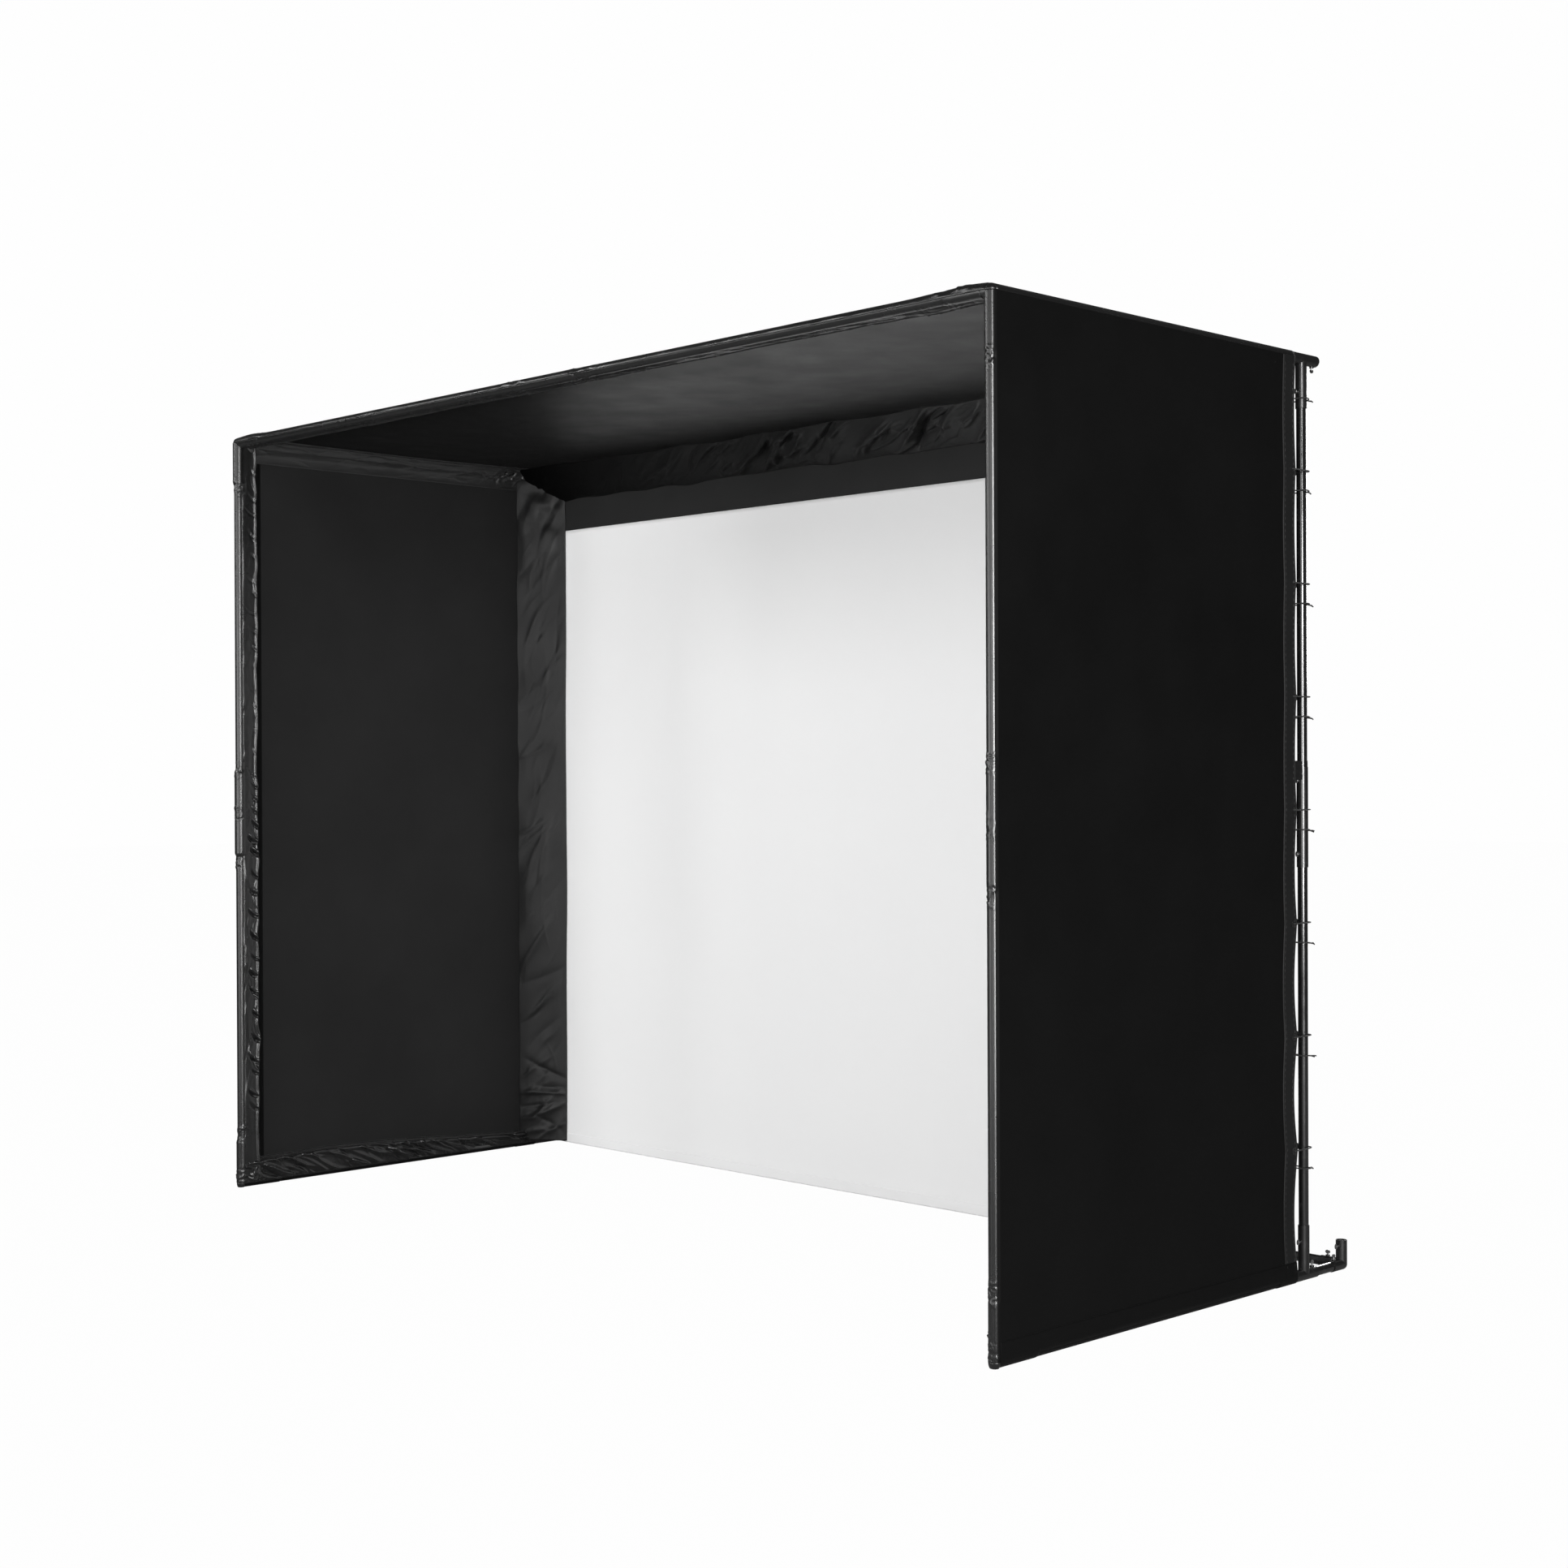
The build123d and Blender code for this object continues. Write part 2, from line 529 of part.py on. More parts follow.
eyelet_y = WALL_EYELET_Y - REAR_Y
edge_cord = cord_loop(
    [
        (LOOP_HALF, 0),
        (LOOP_HALF, LOOP_HALF),
        (-BALL_REACH, LOOP_HALF),
        (-BALL_REACH, SHOULDER_Y),
        (WRAP_MID - TURN_HALF, eyelet_y + NECK),
        (WRAP_MID - TURN_HALF, eyelet_y),
        (WRAP_MID + TURN_HALF, eyelet_y),
        (WRAP_MID + TURN_HALF, eyelet_y + NECK),
    ],
    [0, CORNER_R, CORNER_R, CORNER_R, NECK_R, TURN_R, TURN_R, 0],
)
edge_ball = ball((-BALL_REACH, EDGE_BALL_Y, 0), Y)
screen_cord = cord_loop(
    [
        (0, LOOP_HALF),
        (-EYELET_TO_POST, LOOP_HALF),
        (-EYELET_TO_POST, -LOOP_HALF),
        (LOOP_HALF, -LOOP_HALF),
        (LOOP_HALF, LOOP_HALF),
    ],
    [0, CORNER_R, CORNER_R, CORNER_R, CORNER_R],
)
SCREEN_BALL_X = -58.0  # tube axis to a ball in front of the screen
screen_ball = ball((SCREEN_BALL_X, -LOOP_HALF, 0), X)


def loop_planes(heights, rail_xs):
    """Local planes for loops round both rear posts and round the top rear rail."""
    planes = []
    for sign in SIDES.values():
        planes += [
            Plane(origin=(sign * POST_X, REAR_Y, z), x_dir=X * sign, z_dir=Z * sign) for z in heights
        ]
    planes += [Plane(origin=(x, REAR_Y, TOP_Z), x_dir=Z, z_dir=-X) for x in rail_xs]
    return planes


def group(label, shape, planes):
    """Copies of one shape, each a separate solid."""
    with BuildPart() as copies:
        with Locations(*planes):
            add(shape)
    save(copies, label)


cover_planes = loop_planes(WALL_EYELET_Z, ROOF_EYELET_X)
group("cover_bungee_cords", edge_cord, cover_planes)
group("cover_bungee_balls", edge_ball, cover_planes)
screen_planes = loop_planes(SCREEN_EYELET_Z, SCREEN_EYELET_X)
group("screen_bungee_balls", screen_ball, screen_planes)

# The foot of the screen is tied back to the foot rail. Here local x points towards the
# rear and local y up, with the origin on the axis of the foot rail.
HEM_LOOP_R = TUBE_R + CORD_R + CORD_CLEAR
HEM_EYELET = SKIRT_EYELET_Y - FOOT_REACH
HEM_BALL = 0.3  # how far along the upper strand its ball sits, from the rail
skirt_rise = SKIRT_Z - LOW_Z
near = HEM_EYELET + TURN_HALF
tilt = degrees(atan2(-skirt_rise, -near))
spread = degrees(asin((HEM_LOOP_R - TURN_HALF) / hypot(near, skirt_rise)))
upper = tilt + 90 + spread  # direction of the upper strand's normal
lower = tilt - 90 - spread
with BuildPart() as hem_cord:
    with BuildLine(Plane.XY) as hem_path:
        front = CenterArc((near, skirt_rise), TURN_HALF, upper, 180 - 2 * spread)
        rear = CenterArc((0, 0), HEM_LOOP_R, lower, 180 + 2 * spread)
        top_strand = Line(rear @ 1, front @ 0)
        Line(front @ 1, rear @ 0)
    with BuildSketch(Plane(origin=rear @ 0, z_dir=rear % 0)):
        Circle(CORD_R)
    sweep(path=hem_path.wire())
hem_ball = ball(top_strand @ HEM_BALL, top_strand % HEM_BALL)
hem_planes = [Plane(origin=(x, FOOT_Y, LOW_Z), x_dir=Y, z_dir=X) for x in SCREEN_EYELET_X]
group("hem_bungee_balls", hem_ball, hem_planes)

with BuildPart() as screen_bungee_cords:
    with Locations(*screen_planes):
        add(screen_cord)
    with Locations(*hem_planes):
        add(hem_cord.part)
save(screen_bungee_cords, "screen_bungee_cords")
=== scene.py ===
"""Looks of the golf simulator bay: coated cloth, impact screen, lacing, tubes, light and camera."""

import math

import bpy
import numpy as np
from mathutils import Matrix, Vector

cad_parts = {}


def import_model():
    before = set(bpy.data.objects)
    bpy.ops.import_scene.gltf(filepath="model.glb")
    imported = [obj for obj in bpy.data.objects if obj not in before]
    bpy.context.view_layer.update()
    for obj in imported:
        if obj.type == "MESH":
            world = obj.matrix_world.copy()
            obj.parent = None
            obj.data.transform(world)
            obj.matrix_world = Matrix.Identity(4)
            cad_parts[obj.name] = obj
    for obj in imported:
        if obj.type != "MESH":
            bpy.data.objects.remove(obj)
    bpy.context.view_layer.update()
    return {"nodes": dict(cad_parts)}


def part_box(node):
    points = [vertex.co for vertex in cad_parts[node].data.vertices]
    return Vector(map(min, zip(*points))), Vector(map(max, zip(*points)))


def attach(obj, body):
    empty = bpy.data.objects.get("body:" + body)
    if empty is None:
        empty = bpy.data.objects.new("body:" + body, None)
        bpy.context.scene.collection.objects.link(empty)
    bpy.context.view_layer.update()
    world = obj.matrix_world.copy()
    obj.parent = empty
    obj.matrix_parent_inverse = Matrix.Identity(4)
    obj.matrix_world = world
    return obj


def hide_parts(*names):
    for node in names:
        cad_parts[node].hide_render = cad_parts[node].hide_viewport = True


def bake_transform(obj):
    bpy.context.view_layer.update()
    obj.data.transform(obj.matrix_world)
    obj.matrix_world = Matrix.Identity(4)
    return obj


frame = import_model()
SIDES = {"left": -1, "right": 1}


# ---- places, all worked out from the frame ----
def middle(node):
    """Centre of a CAD node's box."""
    low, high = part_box(node)
    return (low + high) / 2


post = middle("front_right_post_lower")
POST_X, FRONT_Y = post.x, post.y
REAR_Y = middle("rear_right_post_lower").y
FOOT_Y = middle("foot_rail_right").y
TOP_Z = middle("top_right_rail").z
LOW_Z = middle("bottom_right_rail").z
TUBE_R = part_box("top_right_rail")[1].x - POST_X
WRAP_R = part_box("right_wall")[1].x - POST_X
CLOTH = 0.0012
WRAP = WRAP_R - CLOTH / 2  # tube axis to the middle of the cloth
CLOTH_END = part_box("right_wall")[1].y
DEPTH = CLOTH_END - FRONT_Y


# ---- small maths helpers ----
def smooth(t):
    """Smooth step from 0 to 1."""
    t = np.clip(t, 0.0, 1.0)
    return t * t * (3 - 2 * t)


def bump(x, centre, width):
    """A round hump of height 1."""
    return np.exp(-(((x - centre) / width) ** 2))


def noise(u, v, cell_u, cell_v, seed):
    """Smooth random field between -1 and 1, with one value per cell corner."""
    rng = np.random.default_rng(seed)
    a, b = u / cell_u, v / cell_v
    ia, ib = np.floor(a).astype(int), np.floor(b).astype(int)
    fa, fb = smooth(a - ia), smooth(b - ib)
    ia, ib = ia - ia.min(), ib - ib.min()
    table = rng.uniform(-1, 1, (ia.max() + 2, ib.max() + 2))
    low = table[ia, ib] * (1 - fa) + table[ia + 1, ib] * fa
    high = table[ia, ib + 1] * (1 - fa) + table[ia + 1, ib + 1] * fa
    return low * (1 - fb) + high * fb


def creases(u, v, seed, count, u_range, v_range, angle, spread, length, width, height):
    """Sum of soft folds, each a bent ridge with random place, heading, length and height."""
    rng = np.random.default_rng(seed)
    total = np.zeros_like(u)
    for _ in range(count):
        cu, cv = rng.uniform(*u_range), rng.uniform(*v_range)
        heading = math.radians(rng.normal(angle, spread))
        long, thick = length * rng.uniform(0.5, 1.4), width * rng.uniform(0.6, 1.5)
        along = (u - cu) * math.cos(heading) + (v - cv) * math.sin(heading)
        across = (v - cv) * math.cos(heading) - (u - cu) * math.sin(heading)
        across = across + rng.uniform(-0.25, 0.25) * along**2 / long
        ridge = np.exp(-np.abs(across / thick) ** 1.4) * np.exp(-((along / long) ** 4))
        total += height * rng.uniform(0.4, 1.0) * rng.choice((-1.0, 1.0, 1.0)) * ridge
    return total


def wobble(t, cell, seed):
    """Noise along one direction."""
    return noise(t, t * 0, cell, 1.0, seed)


def scallops(t, stops):
    """0 at every stop and 1 half-way between neighbours: the outline of a laced edge."""
    total = np.zeros_like(t)
    for low, high in zip(stops, stops[1:]):
        share = np.clip((t - low) / (high - low), 0, 1)
        total = np.maximum(total, np.where((t >= low) & (t <= high), np.sin(math.pi * share), 0))
    return total


def rounded(points, samples):
    """A smooth curve through points (Catmull-Rom), as a dense polyline."""
    p = np.array(points, float)
    p = np.vstack([2 * p[0] - p[1], p, 2 * p[-1] - p[-2]])
    out = []
    for i in range(1, len(p) - 2):
        for t in np.linspace(0, 1, samples, endpoint=False):
            out.append(0.5 * (2 * p[i] + (p[i + 1] - p[i - 1]) * t
                              + (2 * p[i - 1] - 5 * p[i] + 4 * p[i + 1] - p[i + 2]) * t**2
                              + (3 * p[i] - p[i - 1] - 3 * p[i + 1] + p[i + 2]) * t**3))
    out.append(p[-2])
    return np.array(out)


# ---- mesh building ----
def grid_normals(points):
    """Unit normal at each point of a grid of points."""
    n = np.cross(np.gradient(points, axis=0), np.gradient(points, axis=1))
    size = np.linalg.norm(n, axis=2, keepdims=True)
    return n / np.maximum(size, 1e-12)


class Sheet:
    """Gathers closed sheets and round cords into one mesh object."""

    def __init__(self):
        self.verts, self.faces, self.count = [], [], 0
        self.finish = []

    def add(self, points, thickness=CLOTH, shift=0.0, finish=0, back=None):
        """A grid of points becomes a closed sheet, its middle moved by shift along its normals."""
        normals = grid_normals(points)
        rows, cols = points.shape[:2]
        top = points + normals * (shift + thickness / 2)
        under = points + normals * (shift - thickness / 2)
        size = rows * cols
        index = np.arange(size).reshape(rows, cols) + self.count
        quads = np.stack([index[:-1, :-1], index[1:, :-1], index[1:, 1:], index[:-1, 1:]], -1).reshape(-1, 4)
        ring = np.concatenate([index[0, :-1], index[:-1, -1], index[-1, :0:-1], index[:0:-1, 0]])
        after = np.roll(ring, -1)
        rim = np.stack([ring, after, after + size, ring + size], -1)
        self.faces += [quads, quads[:, [0, 3, 2, 1]] + size, rim]
        self.verts += [top.reshape(-1, 3), under.reshape(-1, 3)]
        self.count += 2 * size
        cells = (rows - 1) * (cols - 1)
        self.finish += [finish] * cells + [finish if back is None else back] * cells + [finish] * len(ring)
        return self

    def add_tube(self, path, radius, closed=False, sides=8):
        """A round cord along a path of points."""
        path = np.array(path, float)
        if closed:
            ahead, behind = np.roll(path, -1, 0), np.roll(path, 1, 0)
        else:
            ahead = np.vstack([path[1:], path[-1:]])
            behind = np.vstack([path[:1], path[:-1]])
        along = ahead - behind
        along /= np.linalg.norm(along, axis=1, keepdims=True)
        side = np.zeros_like(along)
        reference = np.array([0.0, 0.0, 1.0]) if abs(along[0][2]) < 0.9 else np.array([1.0, 0.0, 0.0])
        for i, t in enumerate(along):
            reference = reference - t * np.dot(reference, t)
            reference = reference / np.linalg.norm(reference)
            side[i] = reference
        other = np.cross(along, side)
        turn = np.linspace(0, 2 * math.pi, sides, endpoint=False)
        ring = side[:, None] * np.cos(turn)[:, None] + other[:, None] * np.sin(turn)[:, None]
        points = path[:, None] + ring * radius
        rows = len(path)
        index = np.arange(rows * sides).reshape(rows, sides) + self.count
        start, end = (index, np.roll(index, -1, 0)) if closed else (index[:-1], index[1:])
        quads = np.stack([start, np.roll(start, -1, 1), np.roll(end, -1, 1), end], -1)
        self.faces += [quads.reshape(-1, 4)]
        self.verts += [points.reshape(-1, 3)]
        self.count += rows * sides
        if not closed:
            self.faces += [index[:1], index[-1:, ::-1]]
        return self

    def build(self, name, *materials):
        """Make the object, with one material per finish."""
        mesh = bpy.data.meshes.new(name)
        faces = [face for block in self.faces for face in block.tolist()]
        mesh.from_pydata(np.concatenate(self.verts).tolist(), [], faces)
        mesh.shade_smooth()
        obj = bpy.data.objects.new(name, mesh)
        bpy.context.scene.collection.objects.link(obj)
        for material in materials:
            obj.data.materials.append(material)
        if len(materials) > 1:
            mesh.polygons.foreach_set("material_index", np.array(self.finish, np.int32))
        return obj


def faced(points, keep):
    """The grid itself, or reversed so that its other side becomes the front."""
    return points if keep else points[::-1]


def fit(piece, body="frame", replaces=None):
    """Give a piece its body and the CAD node it stands in for."""
    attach(piece, body)
    if replaces:
        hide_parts(replaces)


def stretch(piece, slot, start, end):
    """Bakes a piece's placing into its mesh; nothing ties it to the frame or the screen."""
    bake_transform(piece)
    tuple(start)
    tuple(end)


def surface(across, along, place):
    """Grid of points: place(u, v) gives three coordinate arrays from two parameter grids."""
    u, v = np.meshgrid(across, along, indexing="ij")
    return np.stack(np.broadcast_arrays(*place(u, v)), -1).astype(float)


# ---- materials ----
class Nodes:
    """Short-hand for building a node material."""

    def __init__(self, name):
        self.material = bpy.data.materials.new(name)
        self.material.use_nodes = True
        self.tree = self.material.node_tree
        self.shader = self.tree.nodes["Principled BSDF"]
        self.place = self.add("ShaderNodeTexCoord").outputs["Object"]

    def add(self, kind, **values):
        node = self.tree.nodes.new(kind)
        for key, value in values.items():
            setattr(node, key, value)
        return node

    def link(self, source, target):
        self.tree.links.new(source, target)

    def set(self, **values):
        for key, value in values.items():
            self.shader.inputs[key.replace("_", " ")].default_value = value

    def noise(self, scale, detail=3.0, stretch=(1, 1, 1), roughness=0.5):
        """Noise texture over object space, in metres."""
        mapping = self.add("ShaderNodeMapping")
        mapping.inputs["Scale"].default_value = stretch
        self.link(self.place, mapping.inputs["Vector"])
        texture = self.add("ShaderNodeTexNoise")
        texture.inputs["Scale"].default_value = scale
        texture.inputs["Detail"].default_value = detail
        texture.inputs["Roughness"].default_value = roughness
        self.link(mapping.outputs["Vector"], texture.inputs["Vector"])
        return texture.outputs["Fac"]

    def weave(self, pitch):
        """Plain weave: threads across the three axes, product of two sines on each face."""
        parts = self.add("ShaderNodeSeparateXYZ")
        self.link(self.place, parts.inputs["Vector"])
        total = None
        for axis in "XYZ":
            scaled = self.math("MULTIPLY", parts.outputs[axis], 2 * math.pi / pitch)
            wave = self.math("SINE", scaled)
            total = wave if total is None else self.math("ADD", total, wave)
        return self.math("MULTIPLY", total, 0.33)

    def math(self, operation, a, b=None):
        node = self.add("ShaderNodeMath", operation=operation)
        for slot, value in zip(node.inputs, (a, b)):
            if value is None:
                continue
            if isinstance(value, (int, float)):
                slot.default_value = value
            else:
                self.link(value, slot)
        return node.outputs["Value"]

    def ramp(self, factor, stops):
        node = self.add("ShaderNodeValToRGB")
        for element, (at, value) in zip(node.color_ramp.elements, stops):
            element.position = at
            element.color = (value, value, value, 1) if isinstance(value, float) else (*value, 1)
        self.link(factor, node.inputs["Fac"])
        return node.outputs["Color"]

    def vary(self, channel, factor, *stops):
        """Drive a shader input by a factor sent through a ramp."""
        self.link(self.ramp(factor, stops), self.shader.inputs[channel])

    def bumps(self, *layers):
        """Stack bump layers: each is (height, distance in metres, strength)."""
        normal = None
        for height, distance, strength in layers:
            node = self.add("ShaderNodeBump")
            node.inputs["Distance"].default_value = distance
            node.inputs["Strength"].default_value = strength
            self.link(height, node.inputs["Height"])
            if normal is not None:
                self.link(normal, node.inputs["Normal"])
            normal = node.outputs["Normal"]
        self.link(normal, self.shader.inputs["Normal"])


# Sheen of plain cloth, then the lowered sheen of cloths with painted shade towards their left end; below, the
# least shine such a cloth keeps at its left end.
SHEEN, PAINTED_SHADE_SHEEN = 0.02, 0.0095
LEAST_SHINE = 0.001


def cloth_material(name, dark, light, roughness, specular, weave_pitch=0.0011, creped=0.25, painted_shade_left=1.0):
    """Coated black cloth: fine weave, slow shading from handling, a soft sheen.

    painted_shade_left is how much of the tone is left at the object's left end: painted shade, darker towards
    the left; the shine is painted down with it and the sheen lowered.
    """
    n = Nodes(name)
    tone = n.ramp(n.noise(2.2, 4.0), ((0.35, dark), (0.7, light)))
    # Painted shade: the tone darkens from the object's right end towards its left end.
    if painted_shade_left < 1.0:
        parts = n.add("ShaderNodeSeparateXYZ")
        n.link(n.place, parts.inputs["Vector"])
        share = n.math("MULTIPLY_ADD", parts.outputs["X"], 0.5 / POST_X)
        share.node.inputs[2].default_value = 0.5
        across = n.ramp(share, ((0.0, painted_shade_left), (1.0, 1.0)))
        mix = n.add("ShaderNodeVectorMath", operation="MULTIPLY")
        n.link(tone, mix.inputs[0])
        n.link(across, mix.inputs[1])
        tone = mix.outputs["Vector"]
    n.link(tone, n.shader.inputs["Base Color"])
    n.vary("Roughness", n.noise(6.0, 3.0), (0.3, roughness - 0.05), (0.75, roughness + 0.07))
    n.set(Specular_IOR_Level=specular, Sheen_Weight=SHEEN, Sheen_Roughness=0.45)
    # Painted shade: the shine drops towards the left end as well, and the sheen is lowered.
    if painted_shade_left < 1.0:
        shine = n.math("MULTIPLY", n.math("POWER", share, 2.0), specular)
        n.link(n.math("MAXIMUM", shine, LEAST_SHINE), n.shader.inputs["Specular IOR Level"])
        n.set(Sheen_Weight=PAINTED_SHADE_SHEEN)
    n.bumps((n.weave(weave_pitch), 0.00025, 0.25), (n.noise(55.0, 3.0), 0.0006, creped),
            (n.noise(7.0, 2.0), 0.004, creped))
    return n.material


def screen_material():
    """White impact cloth: a tight matt weave with very faint clouding."""
    n = Nodes("screen_white")
    n.vary("Base Color", n.noise(1.6, 4.0), (0.3, (0.875, 0.875, 0.877)), (0.7, 0.89))
    n.set(Roughness=0.85, Specular_IOR_Level=0.2, Sheen_Weight=0.1)
    n.bumps((n.weave(0.0024), 0.0004, 0.35), (n.noise(3.0, 2.0), 0.004, 0.15))
    return n.material


def paint_material(name, tone, roughness, coat):
    """Powder paint: faint orange peel and small scuffs."""
    n = Nodes(name)
    n.vary("Base Color", n.noise(38.0, 5.0, roughness=0.7), (0.56, tone), (0.74, tone + 0.012))
    n.vary("Roughness", n.noise(24.0, 3.0), (0.3, roughness), (0.8, roughness + 0.1))
    n.set(Metallic=0.0, Specular_IOR_Level=0.5, Coat_Weight=coat, Coat_Roughness=0.12)
    n.bumps((n.noise(420.0, 2.0), 0.00006, 0.3))
    return n.material


def metal_material(name, tone, roughness):
    """Plated steel with fine scratches."""
    n = Nodes(name)
    n.vary("Base Color", n.noise(90.0, 4.0), (0.3, tone), (0.8, tone + 0.12))
    n.set(Metallic=1.0, Roughness=roughness)
    n.bumps((n.noise(600.0, 2.0, (1, 1, 8)), 0.00004, 0.4))
    return n.material


def cord_material():
    """Braided elastic cord."""
    n = Nodes("elastic_cord")
    n.vary("Base Color", n.noise(900.0, 1.0), (0.35, 0.004), (0.7, 0.012))
    n.set(Roughness=0.6, Sheen_Weight=0.1, Specular_IOR_Level=0.3)
    n.bumps((n.weave(0.0012), 0.0003, 0.6))
    return n.material


def plastic_material():
    """Moulded gloss plastic balls."""
    n = Nodes("ball_plastic")
    n.vary("Base Color", n.noise(60.0, 2.0), (0.3, 0.008), (0.8, 0.016))
    n.set(Roughness=0.28, Specular_IOR_Level=0.5)
    n.bumps((n.noise(160.0, 2.0), 0.0001, 0.3))
    return n.material


# WALL and INSIDE are the two faces of one wall cloth: the outer face toned darker as painted shade, the inner
# face toned lighter as painted light.
WALL = cloth_material("cover_cloth", 0.0015, 0.0021, 0.55, 0.06)
INSIDE = cloth_material("cover_inside", 0.0074, 0.0093, 0.6, 0.10)
GLOSS = cloth_material("cover_wrap", 0.0034, 0.0054, 0.26, 0.46, creped=0.10)
LINING = cloth_material("cover_lining", 0.008, 0.012, 0.42, 0.35)
# Roof lining: painted shade darkens its tone and shine towards the left end.
CEILING = cloth_material("roof_lining", 0.0020, 0.0028, 0.41, 0.27, creped=0.10, painted_shade_left=0.05)
FLAP = cloth_material("flap_cloth", 0.005, 0.0075, 0.46, 0.24, creped=0.2)
BORDER = cloth_material("border_cloth", 0.0142, 0.0178, 0.6, 0.22)
# Top flap cloth: the side flaps' cloth toned several times lighter as painted light, and darkened towards the
# left end as painted shade.
TOP_FLAP = cloth_material("top_flap_cloth", 0.036, 0.050, 0.42, 0.55, creped=0.2, painted_shade_left=0.01)
ROOF_TOP = cloth_material("roof_top", 0.0030, 0.0044, 0.8, 0.03)
# A dark matt band that paints the shadow beside a strip's hem.
SHADOW_BAND = cloth_material("seam_shadow_band", 0.0012, 0.0016, 0.8, 0.05)
WEB = cloth_material("hem_tape", 0.0045, 0.0065, 0.55, 0.15, weave_pitch=0.0022)
THREAD = cloth_material("thread", 0.02, 0.04, 0.5, 0.4)
WHITE = screen_material()
TUBE = paint_material("tube_paint", 0.005, 0.16, 0.45)
FITTING = paint_material("fitting_paint", 0.006, 0.28, 0.15)
STEEL = metal_material("zinc_screw", 0.35, 0.32)
EYELET = metal_material("grommet_metal", 0.06, 0.4)
CORD = cord_material()
PLASTIC = plastic_material()


# ---- wrap profiles ----
STRIP = 0.076  # width of the cloth strip behind a tube
HEM_RISE = 0.0032  # how far its rolled hem stands out
HALF_TURN = np.linspace(0, math.pi, 29)  # the steps of a wrap round a tube


def wrapped(profile, along, place):
    """Grid of points along a profile: place gets the profile's columns and the position."""
    def at(i, v):
        return place(*(column[i.astype(int)] for column in profile), v)
    return surface(np.arange(len(profile[0])), along, at)


def wrap_profile(flat, tuck=0.0):
    """A cloth edge wrapped round a tube, in a plane across the tube.

    Returns (a, b, s): a is the offset towards the outside, b the offset away from the cloth's
    own flat (negative beyond the tube), s the length along the cloth from the tube's tangent.
    The strip behind the tube stands off the flat and ends in a rolled hem sewn down to it;
    tuck pulls it in right behind the tube.
    """
    arc_a, arc_b = WRAP * np.cos(HALF_TURN), -WRAP * np.sin(HALF_TURN)
    down = WRAP - 2.2 * CLOTH
    strip = rounded([(-WRAP, 0.0), (-WRAP + tuck, 0.012), (-WRAP + tuck * 0.6, 0.030),
                     (-WRAP + 0.0012, 0.050), (-WRAP, 0.062), (-WRAP - HEM_RISE, 0.0685),
                     (-WRAP, 0.0742), (-WRAP + 0.006, 0.0762), (0.0, 0.0766), (down, 0.0775),
                     (down, 0.0835)], 5)
    a = np.concatenate([np.full(len(flat), WRAP), arc_a[1:], strip[1:, 0]])
    b = np.concatenate([flat, arc_b[1:], strip[1:, 1]])
    length = np.cumsum(np.linalg.norm(np.diff(strip, axis=0), axis=1))
    s = np.concatenate([-flat, WRAP * HALF_TURN[1:], WRAP * math.pi + length])
    return a, b, s


ARC = WRAP * math.pi  # cloth length round a tube
STRIP_END = ARC + STRIP
ON_STRIP = (ARC, STRIP_END)
LEG = 0.148  # how far a corner fitting reaches along a tube
COUPLER_HALF = 0.15  # half of a coupler's length, with its cloth step
SNUG = 0.0019  # how much tighter than its CAD shape the cloth sits on a bare tube
EASE = 0.012  # length over which the cloth steps on to a fitting
POST_STRIP_SHARE = 0.87  # a post strip's width, as a share of the others


def sleeve_swell(t, low, high, rise=0.0020):
    """How far cloth stands out over the fittings at both ends and the coupler half-way."""
    ends = 1 - smooth((np.minimum(t - low, high - t) - LEG) / EASE)
    half = 1 - smooth((np.abs(t - (low + high) / 2) - COUPLER_HALF) / EASE)
    return rise * np.maximum(ends, half) - SNUG


def strip_share(s, start):
    """1 on the strip behind a wrapped tube and 0 elsewhere."""
    return smooth((s - start) / EASE) * (1 - smooth((s - STRIP_END) / 0.006))


def puckers(s, t, seed, low, high, pitch, heading, length, width, height):
    """Slanting dents at a sewing pitch along a strip, running in from its hem."""
    rng = np.random.default_rng(seed)
    total = np.zeros_like(s)
    at = low
    while at < high:
        at += pitch * rng.uniform(0.6, 1.3)
        angle = math.radians(heading + rng.normal(0, 9))
        cs, ct = STRIP_END - 0.012 - rng.uniform(0, 0.022), at
        long, thick = length * rng.uniform(0.6, 1.2), width * rng.uniform(0.7, 1.4)
        along = (s - cs) * math.cos(angle) + (t - ct) * math.sin(angle)
        across = (t - ct) * math.cos(angle) - (s - cs) * math.sin(angle)
        across = across - 7.0 * along**2
        dent = np.exp(-np.abs(across / thick) ** 1.5) * np.exp(-((along / long) ** 4))
        rim = np.exp(-np.abs((across - 2.1 * thick) / thick) ** 1.6) * np.exp(-((along / long) ** 4))
        total += height * rng.uniform(0.5, 1.0) * (0.55 * rim - dent)
    return total


def knot_folds(s, t, places, seed, s_range, height, reach=0.03):
    """Short crossed wrinkles where the cloth rides over the end of a fitting."""
    total = np.zeros_like(s)
    for i, place in enumerate(places):
        total += creases(s, t, seed + i, 22, s_range, (place - reach, place + reach), 24, 34, 0.016,
                         0.0022, height) * bump(t, place, reach * 1.6)
    return total


THREAD_R = 0.00045
SWELL_RISE = {"left": 0.0042, "right": 0.0012}  # cloth over a fitting, beyond its bare-tube place
KNOT_Z = (0.043, 0.195, 1.21, 1.39, 1.55, 2.592)  # creased spots on a post, where fittings end
SEAM_TURN = math.radians(62)  # how far round the post the wrap's seam lies
PUCKERED_BELOW = 1.25  # the strip is puckered up to here and nearly smooth above
SCALLOP_LOW, SCALLOP_HIGH = 0.019, 0.007  # depth of the rear edge's scallops, foot and top
SCALLOP_RUN = DEPTH * 0.12
SEAM_FROM, SEAM_TO = 0.066, 0.110  # painted shadow: a dark band over the seam, behind the post's axis
